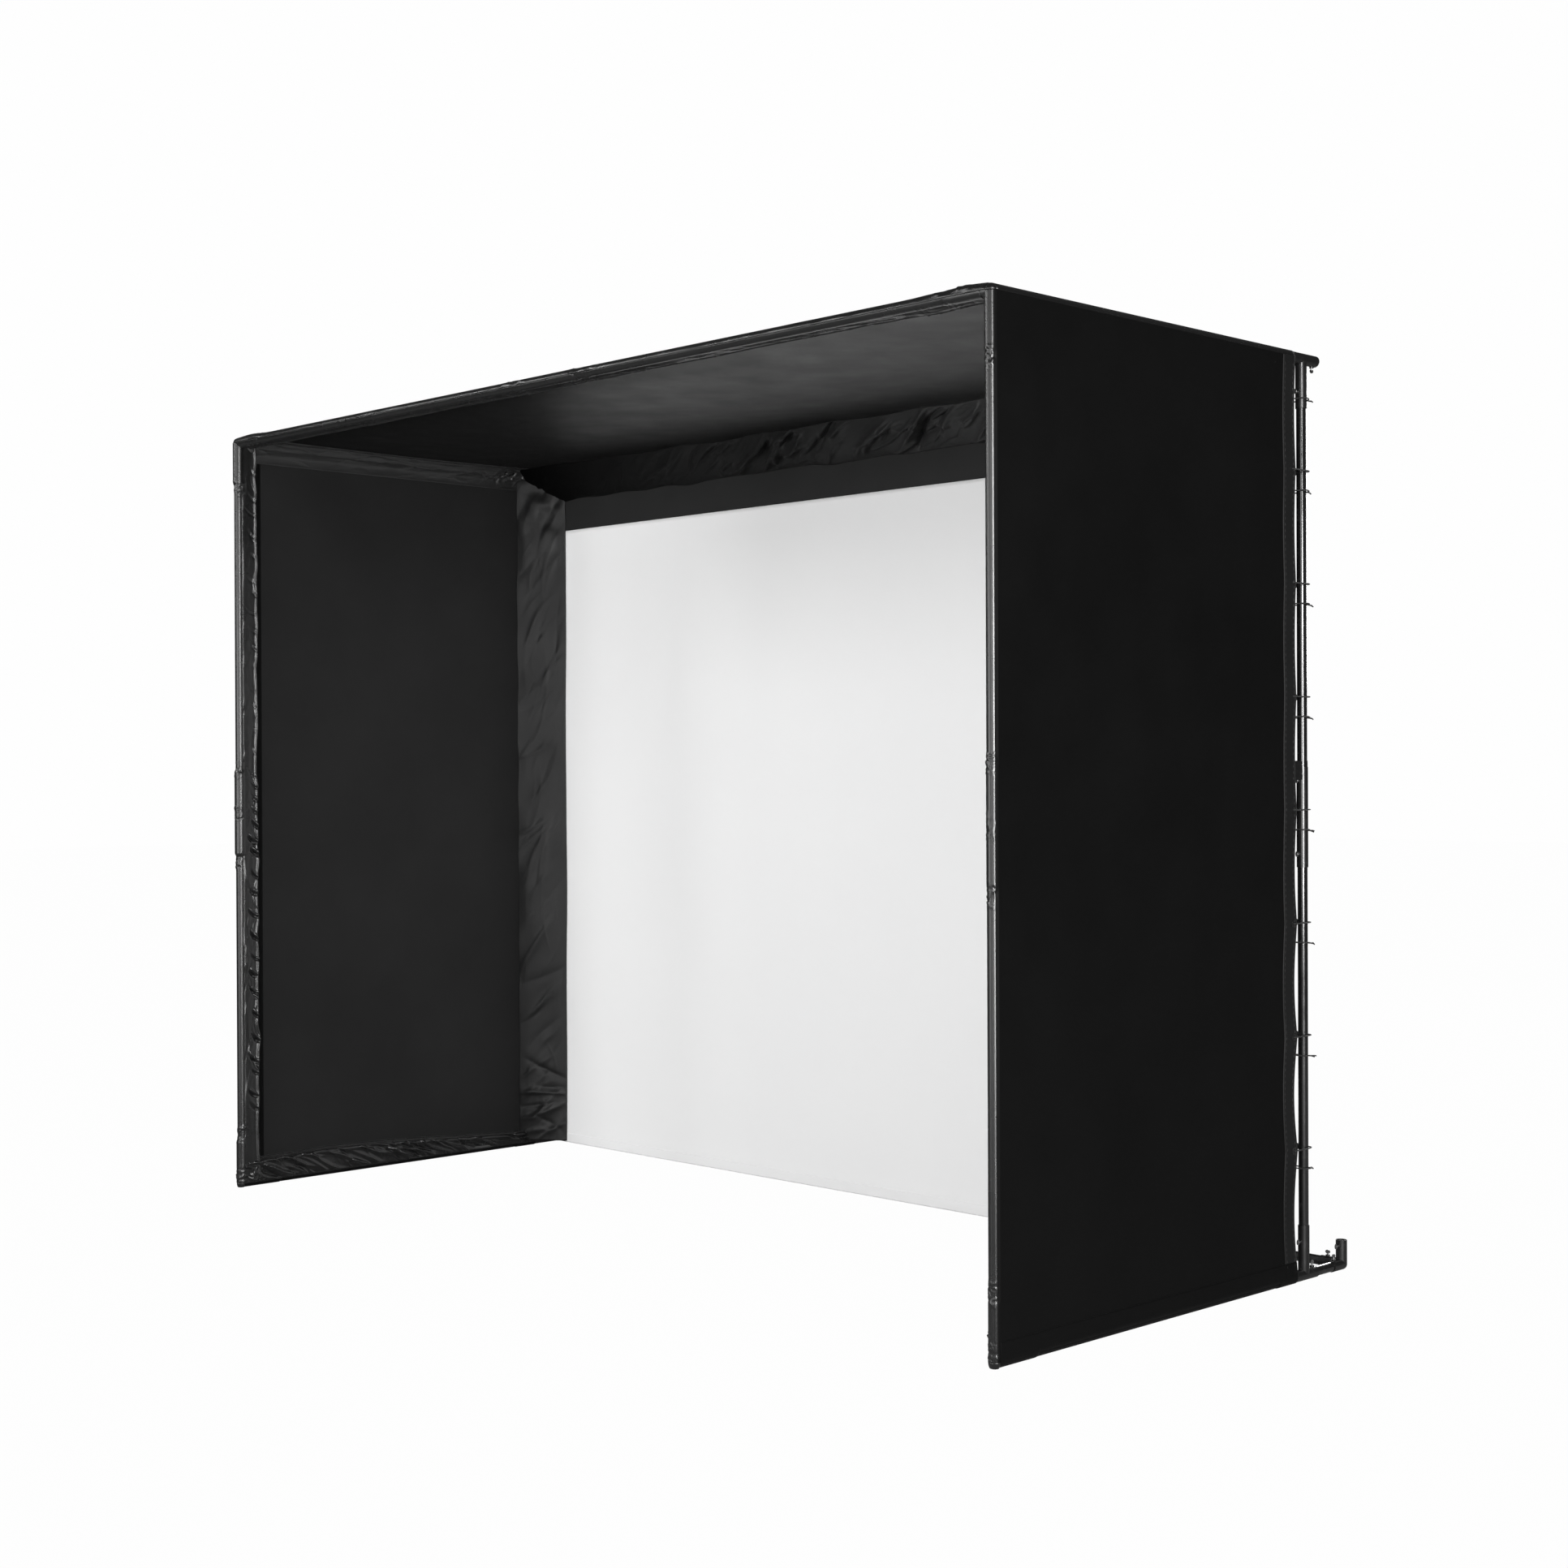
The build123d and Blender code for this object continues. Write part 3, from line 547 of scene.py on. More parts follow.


def wall(side):
    """A wall: its flat, the wrap round the front post and the toe under the front corner."""
    sign = SIDES[side]
    seed = 11 if side == "right" else 31
    flat_run = np.concatenate([np.linspace(DEPTH, 0.02, 130), [0.013, 0.007, 0.003, 0.0]])
    a, b, s = wrap_profile(flat_run)
    b = np.where(s > ARC, b * POST_STRIP_SHARE, b)
    heights = np.linspace(LOW_Z, TOP_Z - 0.0005, 900)
    swell_rise = SWELL_RISE[side]

    def place(aa, bb, ss, z):
        swell = sleeve_swell(z, LOW_Z, TOP_Z, swell_rise)
        on_strip = strip_share(ss, ARC)
        lower = 1 - 0.85 * smooth((z - PUCKERED_BELOW) / 0.35)
        fold = puckers(ss, z, seed, 0.2, 2.6, 0.075, -32, 0.030, 0.0042, 0.0115) * lower
        fold += puckers(ss, z, seed + 1, 0.3, 2.5, 0.21, -62, 0.05, 0.003, 0.004) * (0.12 + lower)
        fine = creases(ss, z, seed + 2, 60, ON_STRIP, (LOW_Z, TOP_Z), 80, 14, 0.09, 0.005, 0.0016)
        fold += fine * (0.35 + lower)
        fold = fold * on_strip
        knots = knot_folds(ss, z, KNOT_Z, seed + 3, (0.004, ARC + 0.01), 0.0020)
        fold += knots * smooth(ss / 0.008) * (1 - smooth((ss - ARC - 0.01) / 0.02))
        seam = np.exp(-((ss - WRAP * SEAM_TURN) / 0.0012) ** 2) * 0.0016
        around = swell * smooth((ss + 0.012) / 0.02) * (1 - on_strip) * (ss < STRIP_END) - seam + fold
        wave = 0.0042 * wobble(z, 0.055, seed + 5) + 0.003 * wobble(z, 0.17, seed + 6)
        wave = wave * smooth((ss - ARC - 0.03) / 0.03)
        flat = (ss <= 0) * smooth((-ss - 0.09) / 0.15) * smooth((DEPTH + ss) / 0.04)
        edge = smooth((z - LOW_Z - 0.12) / 0.15) * smooth((TOP_Z - 0.075 - z) / 0.12)
        ripple = noise(ss, z, 0.5, 0.7, seed + 7) * 0.004 + noise(ss, z, 0.12, 0.5, seed + 8) * 0.0012
        pull = sum(bump(z, at, 0.10) for at in wall_eyelets_z) * smooth((0.22 - (ss + DEPTH)) / 0.2) * 0.0018
        inward = np.where(ss <= 0, np.minimum(-(ripple + pull) * flat * edge, 0.0), 0.0)
        turn_a = np.where(ss <= 0, 0.0, np.where(bb < 0, aa / WRAP, -1.0))
        turn_b = np.where((bb < 0) & (ss > 0), bb / WRAP, 0.0)
        x = POST_X + aa + inward + turn_a * around
        y = FRONT_Y + bb + turn_b * around + wave
        scallop = scallops(z, [LOW_Z] + wall_eyelets_z + [TOP_Z])
        deep = SCALLOP_HIGH + (SCALLOP_LOW - SCALLOP_HIGH) * (1 - smooth((z - 0.3) / 1.6))
        y = y - scallop * deep * smooth(1 - (ss + DEPTH) / SCALLOP_RUN)
        return sign * x, y, z

    sheet = Sheet()
    points = wrapped((a, b, s), heights, place)
    shoulder = len(flat_run) + 3
    # The inner face takes INSIDE and the outer face WALL: one cloth toned lighter inside and darker outside,
    # painted light and painted shade.
    for block, inner, outer in ((points[:shoulder + 1], 4, 0), (points[shoulder:], 1, 1)):
        sheet.add(faced(block, sign > 0), finish=inner, back=outer)
    tip = np.linspace(0, math.pi / 2, 12)
    swell = float(sleeve_swell(np.array([LOW_Z]), LOW_Z, TOP_Z, swell_rise)[0])

    def toe(t, q):
        r = WRAP + swell * np.sin(np.clip(t, 0, math.pi))
        low = np.minimum(WRAP * np.sin(t) * np.sin(q) * 1.25, LOW_Z - CLOTH)
        return (sign * (POST_X + WRAP * np.cos(t)), FRONT_Y - r * np.sin(t) * np.cos(q) ** 0.45,
                LOW_Z - low)

    ends = surface(HALF_TURN[1:-1], tip, toe)
    sheet.add(faced(ends, sign > 0), finish=1)

    # A band over the seam where the strip is sewn down, on the inner face, toned far darker and matter than
    # the cloth round it: painted shadow beside the strip's hem.
    near_seam = [i for i, y in enumerate(flat_run) if SEAM_FROM < y < SEAM_TO]
    shadow_band = points[near_seam[0]:near_seam[-1] + 1]
    sheet.add(faced(shadow_band, sign > 0), CLOTH * 0.5, CLOTH * 0.75, finish=3)

    # Rear hem: a tape sewn over the free edge, with two rows of stitches.
    hem = points[:7]
    sheet.add(faced(hem, sign > 0), CLOTH, -CLOTH, finish=2)
    piece = sheet.build(f"{side}_wall_cloth", WALL, GLOSS, WEB, SHADOW_BAND, INSIDE)
    fit(piece, replaces=f"{side}_wall")

    stitches = Sheet()
    lift = np.array([sign * 2.0 * CLOTH, 0, 0])
    for row in (hem[1, ::3], hem[5, ::3]):
        for start, end in zip(row[2:-3:2], row[3:-2:2]):
            path = [start + lift * 0.7, (start + end) / 2 + lift, end + lift * 0.7]
            stitches.add_tube(path, THREAD_R, sides=5)
    fit(stitches.build(f"{side}_wall_hem_stitches", THREAD))


# Lacing pitches, the same as the CAD model's grommets.
LACES_PER_POST = 7
EYELET_R = 0.011
LACE_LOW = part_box("cover_grommets")[0].z + EYELET_R
LACE_PITCH = 0.3375
wall_eyelets_z = [LACE_LOW + LACE_PITCH * i for i in range(LACES_PER_POST)]
LACE_PITCH_X = 0.4
roof_eyelets_x = [LACE_PITCH_X * i for i in range(-4, 5)]

TIE_Z = 1.530  # height of the strap from wall to rear post
TIE_HALF = 0.029


def wall_tie(side):
    """Short strap from a wall's rear edge, hooked round the inner side of the rear post."""
    sign = SIDES[side]
    r = 0.0196
    hook = [(r * math.cos(t), r * math.sin(t)) for t in np.radians(np.linspace(-58, -290, 12))]
    start = [(WRAP - 2 * CLOTH, -0.105), (WRAP - 2 * CLOTH, -0.075), (WRAP - 0.004, -0.052)]
    path = rounded(start + [(0.014, -0.034)] + hook, 4)
    heights = np.linspace(-TIE_HALF, TIE_HALF, 16)
    share = np.arange(len(path)) / len(path)

    def place(aa, bb, uu, h):
        fold = creases(uu, h * 10, 61, 12, (0, 0.5), (-0.3, 0.3), 8, 14, 0.25, 0.05, 0.0016)
        squeeze = 1 - 0.12 * bump(uu, 0.3, 0.12)
        return sign * (POST_X + aa + fold), REAR_Y + bb, TIE_Z + h * squeeze

    points = wrapped((*path.T, share), heights, place)
    fit(Sheet().add(faced(points, sign < 0)).build(f"{side}_wall_tie", WEB))


# ---- foot sleeves: the wall's bottom edge, wrapped under the side rail ----
def foot_sleeve(side):
    """Cloth under a bottom side rail and up inside it, with long slanting wrinkles."""
    sign = SIDES[side]
    seed = 51 if side == "right" else 71
    a, b, s = wrap_profile(np.array([0.052, 0.047, 0.040, 0.031, 0.021, 0.011, 0.0]))
    run = np.linspace(FRONT_Y, CLOTH_END, 700)
    whole = (FRONT_Y, CLOTH_END)

    def place(aa, bb, ss, y):
        on_strip = strip_share(ss, ARC * 0.9)
        fold = creases(ss, y, seed, 46, ON_STRIP, whole, 116, 5, 0.10, 0.0055, 0.0110)
        fold += creases(ss, y, seed + 1, 26, ON_STRIP, whole, 122, 8, 0.06, 0.0035, 0.0040)
        front = creases(ss, y, seed + 2, 26, (ARC * 0.6, STRIP_END), (FRONT_Y, FRONT_Y + 0.12), 40, 40, 0.03,
                        0.005, 0.0045)
        fold += front * bump(y, FRONT_Y + 0.03, 0.06)
        fold = fold * on_strip
        outer = creases(ss, y, seed + 3, 26, (-0.10, 0.0), whole, 97, 5, 0.14, 0.006, 0.0008)
        bulge = CLOTH + (0.0006 + np.abs(outer)) * smooth((ss + 0.051) / 0.02) * (ss <= 0)
        bulge = bulge * (ss <= 0) + CLOTH * 0.6 * (ss > 0)
        lift = 0.007 * wobble(y, 0.22, seed + 4) * smooth((ss - ARC - 0.01) / 0.05)
        taper = -0.030 * smooth((y - FRONT_Y - 0.3) / 1.0) * smooth((ss - ARC - 0.01) / 0.05)
        turn_a = np.where(ss <= 0, 0.0, np.where(bb < 0, aa / WRAP, -1.0))
        swell = -0.0012 + 0.0018 * (1 - smooth((np.minimum(y - FRONT_Y, REAR_Y - y) - LEG) / EASE))
        rise = np.clip(-ss / (wall_eyelets_z[0] - LOW_Z), 0, 1)
        behind = smooth(1 - (CLOTH_END - y) / SCALLOP_RUN)
        y = y - (SCALLOP_LOW + 0.0005) * np.sin(math.pi * rise) * behind * (ss <= 0)
        x = POST_X + aa + bulge * (ss <= 0) + turn_a * (fold + swell)
        z = LOW_Z + bb - np.where((bb < 0) & (ss > 0), np.minimum(swell, 0), 0) + lift + taper
        return sign * x, y, z

    points = wrapped((a, b, s), run, place)
    sheet = Sheet()
    for block, finish in ((points[:33], 1), (points[32:], 0)):
        sheet.add(faced(block, sign < 0), finish=finish)
    fit(sheet.build(f"{side}_wall_foot_sleeve", GLOSS, WALL))


for make in (wall, wall_tie, foot_sleeve):
    for side in SIDES:
        make(side)


# ---- roof ----
ROOF_SAG = 0.030  # in the middle of the roof
LIP_SHARE = 0.52  # the front sleeve's width, as a share of the other strips


def roof_drop(x, y):
    """How far the roof hangs below its tubes."""
    t = np.clip((y - FRONT_Y) / DEPTH, 0, 1)
    across = np.clip(1 - (x / POST_X) ** 2, 0, 1)
    span = np.sin(math.pi * t**0.9) * 0.75 + 0.42 * t**2
    wave = noise(x, y, 0.55, 0.5, 91) * 0.004 + noise(x, y, 0.22, 0.7, 92) * 0.0015
    tied = sum(bump(x, at, 0.13) for at in roof_eyelets_x) * smooth((t - 0.82) / 0.18) * 0.010
    edge = smooth((POST_X - np.abs(x)) / 0.06) * smooth(t / 0.03)
    return (ROOF_SAG * across**0.8 * span + wave - tied * across**0.3) * edge


def front_lift(x):
    """Cloth stands proud of the front rail beside the corners."""
    near_right = 0.0058 * bump(x, 1.745, 0.075) + 0.002 * bump(x, 1.62, 0.05)
    near_left = 0.005 * bump(x, -1.73, 0.07)
    return (near_right + near_left) * smooth((POST_X - np.abs(x)) / 0.012)


def roof():
    """The roof: its sagging flat, the wraps over the top tubes and the front sleeve."""
    cols = np.concatenate([np.linspace(-POST_X, -POST_X + 0.1, 11)[:-1],
                           np.linspace(-POST_X + 0.1, POST_X - 0.1, 240),
                           np.linspace(POST_X - 0.1, POST_X, 11)[1:]])
    rows = np.linspace(CLOTH_END, FRONT_Y, 110)
    quarter = np.linspace(0, math.pi / 2, 13)
    lip_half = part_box("top_front_rail_right")[1].x

    def flat(x, y):
        t = (y - FRONT_Y) / DEPTH
        cut = scallops(x, [-POST_X] + roof_eyelets_x + [POST_X])
        rise = front_lift(x) * (1 - smooth(t / 0.22))
        return x, y - cut * 0.010 * smooth((t - 0.85) / 0.15), TOP_Z + WRAP - roof_drop(x, y) + rise

    def front(x, turn):
        fold = creases(turn * WRAP, x, 95, 40, (0, 0.03), (-POST_X, POST_X), 84, 12, 0.07, 0.004, 0.0012)
        fold += knot_folds(turn * WRAP, x, (-1.68, -0.2, -0.12, 0.17, 0.22, 1.66, 1.74), 96, (0, 0.03), 0.004)
        seam = np.exp(-((turn - math.radians(48)) / 0.05) ** 2) * 0.0014
        r = WRAP + (fold + sleeve_swell(x, -POST_X, POST_X) - seam) * np.sin(turn)
        return x, FRONT_Y - r * np.sin(turn), TOP_Z + r * np.cos(turn) + front_lift(x) * np.cos(turn)

    def side_wrap(sign):
        def place(turn, y):
            return sign * (POST_X + WRAP * np.sin(turn)), y, TOP_Z + WRAP * np.cos(turn)
        return place

    def nose(sign):
        def place(turn, swing):
            out, fore = np.cos(swing), np.sin(swing)
            return (sign * (POST_X + WRAP * np.sin(turn) * out), FRONT_Y - WRAP * np.sin(turn) * fore,
                    TOP_Z + WRAP * np.cos(turn))
        return place

    sheet = Sheet()
    sheet.add(surface(cols, rows, flat)[:, ::-1], finish=0, back=2)
    sheet.add(surface(cols, quarter, front)[:, ::-1], finish=1)
    for sign in SIDES.values():
        points = surface(quarter, rows, side_wrap(sign))
        sheet.add(faced(points, sign < 0), finish=1)
        points = surface(quarter[1:], quarter, nose(sign))
        sheet.add(faced(points, sign < 0), finish=1)
    fit(sheet.build("roof_cloth", ROOF_TOP, GLOSS, CEILING), replaces="roof")

    # The front sleeve: from the front of the rail, under it and back up to the roof.
    a, b, s = wrap_profile(np.array([0.0]), tuck=0.009)
    keep = s >= WRAP * math.pi / 2 - 1e-6
    a, b, s = a[keep], np.where(b > 0, b * LIP_SHARE, b)[keep], s[keep]
    long = np.linspace(-lip_half, lip_half, 1100)

    def under(aa, bb, ss, x):
        start = smooth((ss - s[0]) / 0.02)
        on_strip = strip_share(ss, ARC)
        fold = creases(ss, x, 101, 90, ON_STRIP, (-POST_X, POST_X), 84, 7, 0.08, 0.004, 0.0018)
        fold += puckers(ss, x, 102, -1.7, 1.7, 0.2, 62, 0.03, 0.004, 0.003)
        knots = knot_folds(ss, x, (-0.2, -0.12, 0.17, 0.22, 1.6, 1.7, -1.68), 103,
                           (ARC * 0.5, STRIP_END), 0.0024, 0.035)
        bag = (bump(x, 1.62, 0.10) * 0.006 + bump(x, -0.05, 0.16) * 0.002) * on_strip
        drop = fold * on_strip + knots * start + bag + (sleeve_swell(x, -POST_X, POST_X)) * (bb < 0.01)
        sag = roof_drop(x, FRONT_Y + bb) * smooth((bb - 0.03) / 0.04)
        wave = 0.004 * wobble(x, 0.09, 105) * smooth((ss - ARC - 0.03) / 0.03)
        out = np.where(bb < 0, bb / WRAP, 0.0) * sleeve_swell(x, -POST_X, POST_X)
        return x, FRONT_Y + bb + wave + out, TOP_Z + aa - drop * smooth(-aa / 0.01) - sag

    lip = Sheet().add(wrapped((a, b, s), long, under))
    fit(lip.build("roof_front_sleeve", GLOSS))


roof()


def roof_side_sleeve(side):
    """Cloth strip that closes round a top side rail, from the wall to the roof."""
    sign = SIDES[side]
    seed = 111 if side == "right" else 121
    w = WRAP - 2 * CLOTH
    ring = [(w, -0.066), (w, -0.052), (0.012, -0.034), (-0.002, -0.0215), (-0.0125, -0.014),
            (-0.0185, -0.002), (-0.021, 0.008), (-0.034, 0.0145), (-0.052, w), (-0.066, w)]
    profile = rounded(ring, 5)
    reach = np.linspace(0, 1, len(profile))
    run = np.linspace(FRONT_Y + 0.022, CLOTH_END - 0.004, 520)
    screw_low = FRONT_Y + 0.048

    def place(aa, bb, uu, y):
        fold = creases(uu * 0.14, y, seed, 60, (0.0, 0.14), (FRONT_Y, CLOTH_END), 84, 8, 0.09, 0.004, 0.0045)
        rear = smooth((y - 0.25) / 0.2)
        fold += creases(uu * 0.14, y, seed + 2, 34, (0.0, 0.14), (0.2, CLOTH_END), 50, 30, 0.04, 0.004,
                        0.008) * rear
        knot = bump(y, screw_low, 0.028) * 0.019 * bump(uu, 0.33, 0.16)
        push = (fold * np.sin(math.pi * uu) ** 0.6 + knot - 0.004 * rear * np.sin(math.pi * uu)
                + 0.002 * noise(y, uu, 0.25, 0.3, seed + 1) * np.sin(math.pi * uu))
        x = POST_X + aa - push * 0.6
        z = TOP_Z + bb - push * 0.8 - roof_drop(x, y) * smooth((uu - 0.6) / 0.3)
        return sign * x, y, z

    points = wrapped((*profile.T, reach), run, place)
    fit(Sheet().add(faced(points, sign > 0)).build(f"{side}_roof_sleeve", LINING))


for side in SIDES:
    roof_side_sleeve(side)


# ---- flaps ----
flap_low, flap_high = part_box("right_flap")
# A side flap seen from above runs from its seam on the wall to its tip on the screen.
SEAM = np.array([flap_high.x, flap_low.y])
TIP = np.array([flap_low.x, flap_high.y])
top_low, top_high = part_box("top_flap")


def top_seam_z(y):
    """Height of the top flap's flat at a given y."""
    return top_high.z + (top_low.z - top_high.z) * (y - top_low.y) / (top_high.y - top_low.y)


def side_flap(side):
    """Diagonal cloth between a wall and the screen, held at both edges and wrinkled between."""
    sign = SIDES[side]
    seed = 131 if side == "right" else 141
    across = np.linspace(0, 1, 56)
    height = np.linspace(0, 1, 520)
    width = float(np.linalg.norm(TIP - SEAM))
    out = np.array([TIP[1] - SEAM[1], -(TIP[0] - SEAM[0])]) / width * -1

    def place(u, v):
        base_x = SEAM[0] + (TIP[0] - SEAM[0]) * u
        base_y = SEAM[1] + (TIP[1] - SEAM[1]) * u
        top = np.minimum(top_seam_z(base_y) + 0.002, TOP_Z - 0.0225 * (1 - smooth((u - 0.25) / 0.1)))
        foot = flap_low.z + 0.004
        z = foot + (top - foot) * v
        held = np.sin(math.pi * u) ** 0.55
        w = u * width
        fold = creases(w, z, seed, 66, (0, width), (0.1, TOP_Z), 60, 14, 0.13, 0.012, 0.0038)
        fold += creases(w, z, seed + 1, 70, (0, width), (0.1, TOP_Z), 66, 16, 0.07, 0.005, 0.0014)
        near_top = smooth((z - (TOP_Z - 0.34)) / 0.2)
        facet = noise(w, z, 0.07, 0.075, seed + 2) * 0.016 + noise(w, z, 0.035, 0.04, seed + 3) * 0.006
        crumple = facet * near_top
        foot_fold = creases(w, z, seed + 4, 16, (0, width), (0.02, 0.34), 22, 24, 0.12, 0.008, 0.007)
        billow = 0.012 * np.sin(math.pi * u) * (0.6 + 0.6 * noise(z, u, 0.5, 2.0, seed + 5))
        push = (fold + crumple + foot_fold) * held + billow
        tip_wave = 0.0045 * wobble(z, 0.35, seed + 6) * smooth((u - 0.8) / 0.2)
        seam_wave = 0.004 * wobble(z, 0.12, seed + 7) * (1 - smooth(u / 0.2))
        push = push * smooth((1 - u) / 0.05) * smooth(u / 0.04)
        x = base_x + out[0] * push + tip_wave
        y = base_y + out[1] * push + seam_wave
        x = np.minimum(x, POST_X + WRAP - CLOTH)
        return sign * x, np.minimum(y, TIP[1]), z

    points = surface(across, height, place)
    piece = Sheet().add(faced(points, sign > 0)).build(f"{side}_flap_cloth", FLAP)
    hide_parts(f"{side}_flap")
    stretch(piece, "flap_cloth", (0, SEAM[1] + 0.01, 1), (0, TIP[1] - 0.012, 1))


for side in SIDES:
    side_flap(side)


def top_flap():
    """Diagonal cloth between the roof and the screen, pulled into slanting folds."""
    across = np.linspace(-1, 1, 760)
    down = np.linspace(0, 1, 46)
    rise = top_high.z - top_low.z
    length = math.hypot(rise, top_high.y - top_low.y)
    out_y, out_z = -rise / length, -(top_high.y - top_low.y) / length

    def place(u, v):
        y = top_low.y + (top_high.y - top_low.y) * v
        side_x = SEAM[0] + (TIP[0] - SEAM[0]) * np.clip((y - SEAM[1]) / (TIP[1] - SEAM[1]), 0, 1)
        half = np.minimum(side_x + 0.001, POST_X - 0.0195)
        x = half * u
        z = top_seam_z(y)
        held = np.sin(math.pi * v) ** 0.55
        w = v * length
        right = 0.30 + 0.70 * smooth((x + 1.25) / 0.8)
        fold = creases(w, x, 151, 120, (0, length), (-POST_X, POST_X), -60, 8, 0.12, 0.010, 0.027)
        fold += creases(w, x, 152, 120, (0, length), (-POST_X, POST_X), -64, 12, 0.06, 0.0045, 0.009)
        sag = roof_drop(x, y) * (1 - v)
        push = fold * held * right + 0.012 * np.sin(math.pi * v) * (0.7 + 0.5 * noise(x, v, 0.4, 2.0, 153))
        push = push * smooth((1 - v) / 0.06) * smooth(v / 0.04)
        scallop = 0.006 * wobble(x, 0.13, 154) * smooth((v - 0.8) / 0.2)
        return x, np.minimum(y + out_y * push, top_high.y), z + out_z * push - sag + scallop

    piece = Sheet().add(surface(across, down, place)).build("top_flap_cloth", TOP_FLAP)
    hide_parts("top_flap")
    stretch(piece, "flap_cloth", (0, top_low.y + 0.01, 1), (0, top_high.y - 0.012, 1))


top_flap()


# ---- screen ----
screen_low, screen_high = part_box("screen")
border_low, border_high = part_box("screen_border")
SCREEN_Y = (border_low.y + border_high.y) / 2
SCREEN_THICK = border_high.y - border_low.y
PANEL_TOP = screen_high.z
HEM = 0.038  # height of the double hem at the foot


def screen_wave(x, z):
    """Slack in the hanging cloth: slow bulges and drag lines towards the laces."""
    slack = noise(x, z, 0.7, 0.6, 161) * 0.004 + noise(x, z, 0.25, 0.9, 162) * 0.0012
    drag = creases(x, z, 163, 26, (-1.6, 1.6), (0.1, 2.5), 75, 30, 0.5, 0.05, 0.0012)
    hold = smooth((screen_high.x - np.abs(x)) / 0.08) * smooth((PANEL_TOP - z) / 0.06)
    return (slack + drag) * hold


def screen():
    """White panel with a double hem at the foot, folded back into a skirt."""
    xs = np.linspace(screen_low.x, screen_high.x, 220)
    zs = np.linspace(screen_low.z + 0.001, PANEL_TOP, 170)

    def panel(x, z):
        return x, SCREEN_Y + screen_wave(x, z) * smooth((z - HEM) / 0.1), z

    def hem(x, z):
        return x, SCREEN_Y - 0.0015 + 0.0008 * noise(x, z, 0.05, 0.02, 171), z

    def skirt(x, y):
        return x, y, screen_low.z + 0.001 + 0.0006 * noise(x, y, 0.2, 0.03, 172)

    sheet = Sheet()
    sheet.add(surface(xs, zs, panel), SCREEN_THICK)
    sheet.add(surface(xs, np.linspace(screen_low.z, screen_low.z + HEM, 9), hem), 0.0012)
    sheet.add(surface(xs, np.linspace(SCREEN_Y + 0.002, screen_high.y, 8), skirt)[:, ::-1])
    fit(sheet.build("screen_cloth", WHITE), "screen_panel", "screen")


screen()


def screen_border():
    """Black cloth sewn round the top and sides of the white panel."""
    inner = screen_high.x
    zs = np.linspace(PANEL_TOP, border_high.z, 26)
    xs = np.linspace(border_low.x, border_high.x, 300)

    def band(x, z):
        wave = noise(x, z, 0.16, 0.2, 181) * 0.0025 * smooth((z - PANEL_TOP) / 0.05)
        return x, SCREEN_Y - 0.0006 + wave, z

    sheet = Sheet()
    sheet.add(surface(xs, zs, band))
    heights = np.linspace(screen_low.z, PANEL_TOP, 200)
    for sign in SIDES.values():
        def edge(x, z):
            wave = noise(x, z, 0.1, 0.15, 183 + sign) * 0.002 * smooth((np.abs(x) - inner) / 0.02)
            return x, SCREEN_Y + wave, z
        span = np.linspace(sign * (inner - 0.004), sign * border_high.x, 14)
        sheet.add(surface(faced(span, sign > 0), heights, edge))
    fit(sheet.build("screen_border_cloth", BORDER), "screen_panel", "screen_border")


screen_border()


# ---- elastic cords ----
CORD_R = 0.0020
EYELET_EDGE = 0.017  # an eyelet's centre to the edge of the cloth
BALL_REACH = 0.030  # tube axis to a cover ball


def cover_cords():
    """Loops from the cover's eyelets round the rear frame and through their balls."""
    eyelet_y = CLOTH_END - EYELET_EDGE
    reach = eyelet_y - REAR_Y
    loop = [(WRAP + 0.005, reach + 0.008), (0.0225, -0.012), (0.0215, 0.006), (0.012, 0.0205),
            (-0.010, 0.0215), (-0.0255, 0.0195), (-BALL_REACH, 0.0135), (-BALL_REACH, -0.0095),
            (-0.0255, -0.0180), (WRAP - 0.005, reach + 0.008), (WRAP - 0.0035, reach + 0.0018), (WRAP, reach),
            (WRAP + 0.0035, reach + 0.0018)]
    loop = rounded(loop + loop[:1], 5)[:-1]
    cover = Sheet()
    for sign in SIDES.values():
        for z in wall_eyelets_z:
            cover.add_tube([(sign * (POST_X + a), REAR_Y + b, z) for a, b in loop], CORD_R, True)
    for x in roof_eyelets_x:
        cover.add_tube([(x, REAR_Y + b, TOP_Z + a) for a, b in loop], CORD_R, True)
    fit(cover.build("cover_cords", CORD), replaces="cover_bungee_cords")


cover_cords()

LACE_IN = 0.077  # tube axis to a screen eyelet
LOOP_HALF = 0.0224  # half width of a loop round a tube
HEM_EYELET = screen_high.y - 0.0175
TAIL = 0.026  # a long tail's reach behind the tube
SHORT_TAIL = 0.019
SCREEN_LACE_LOW, SCREEN_LACE_PITCH, SCREEN_LACE_HIGH = 0.339, 0.338, 2.642


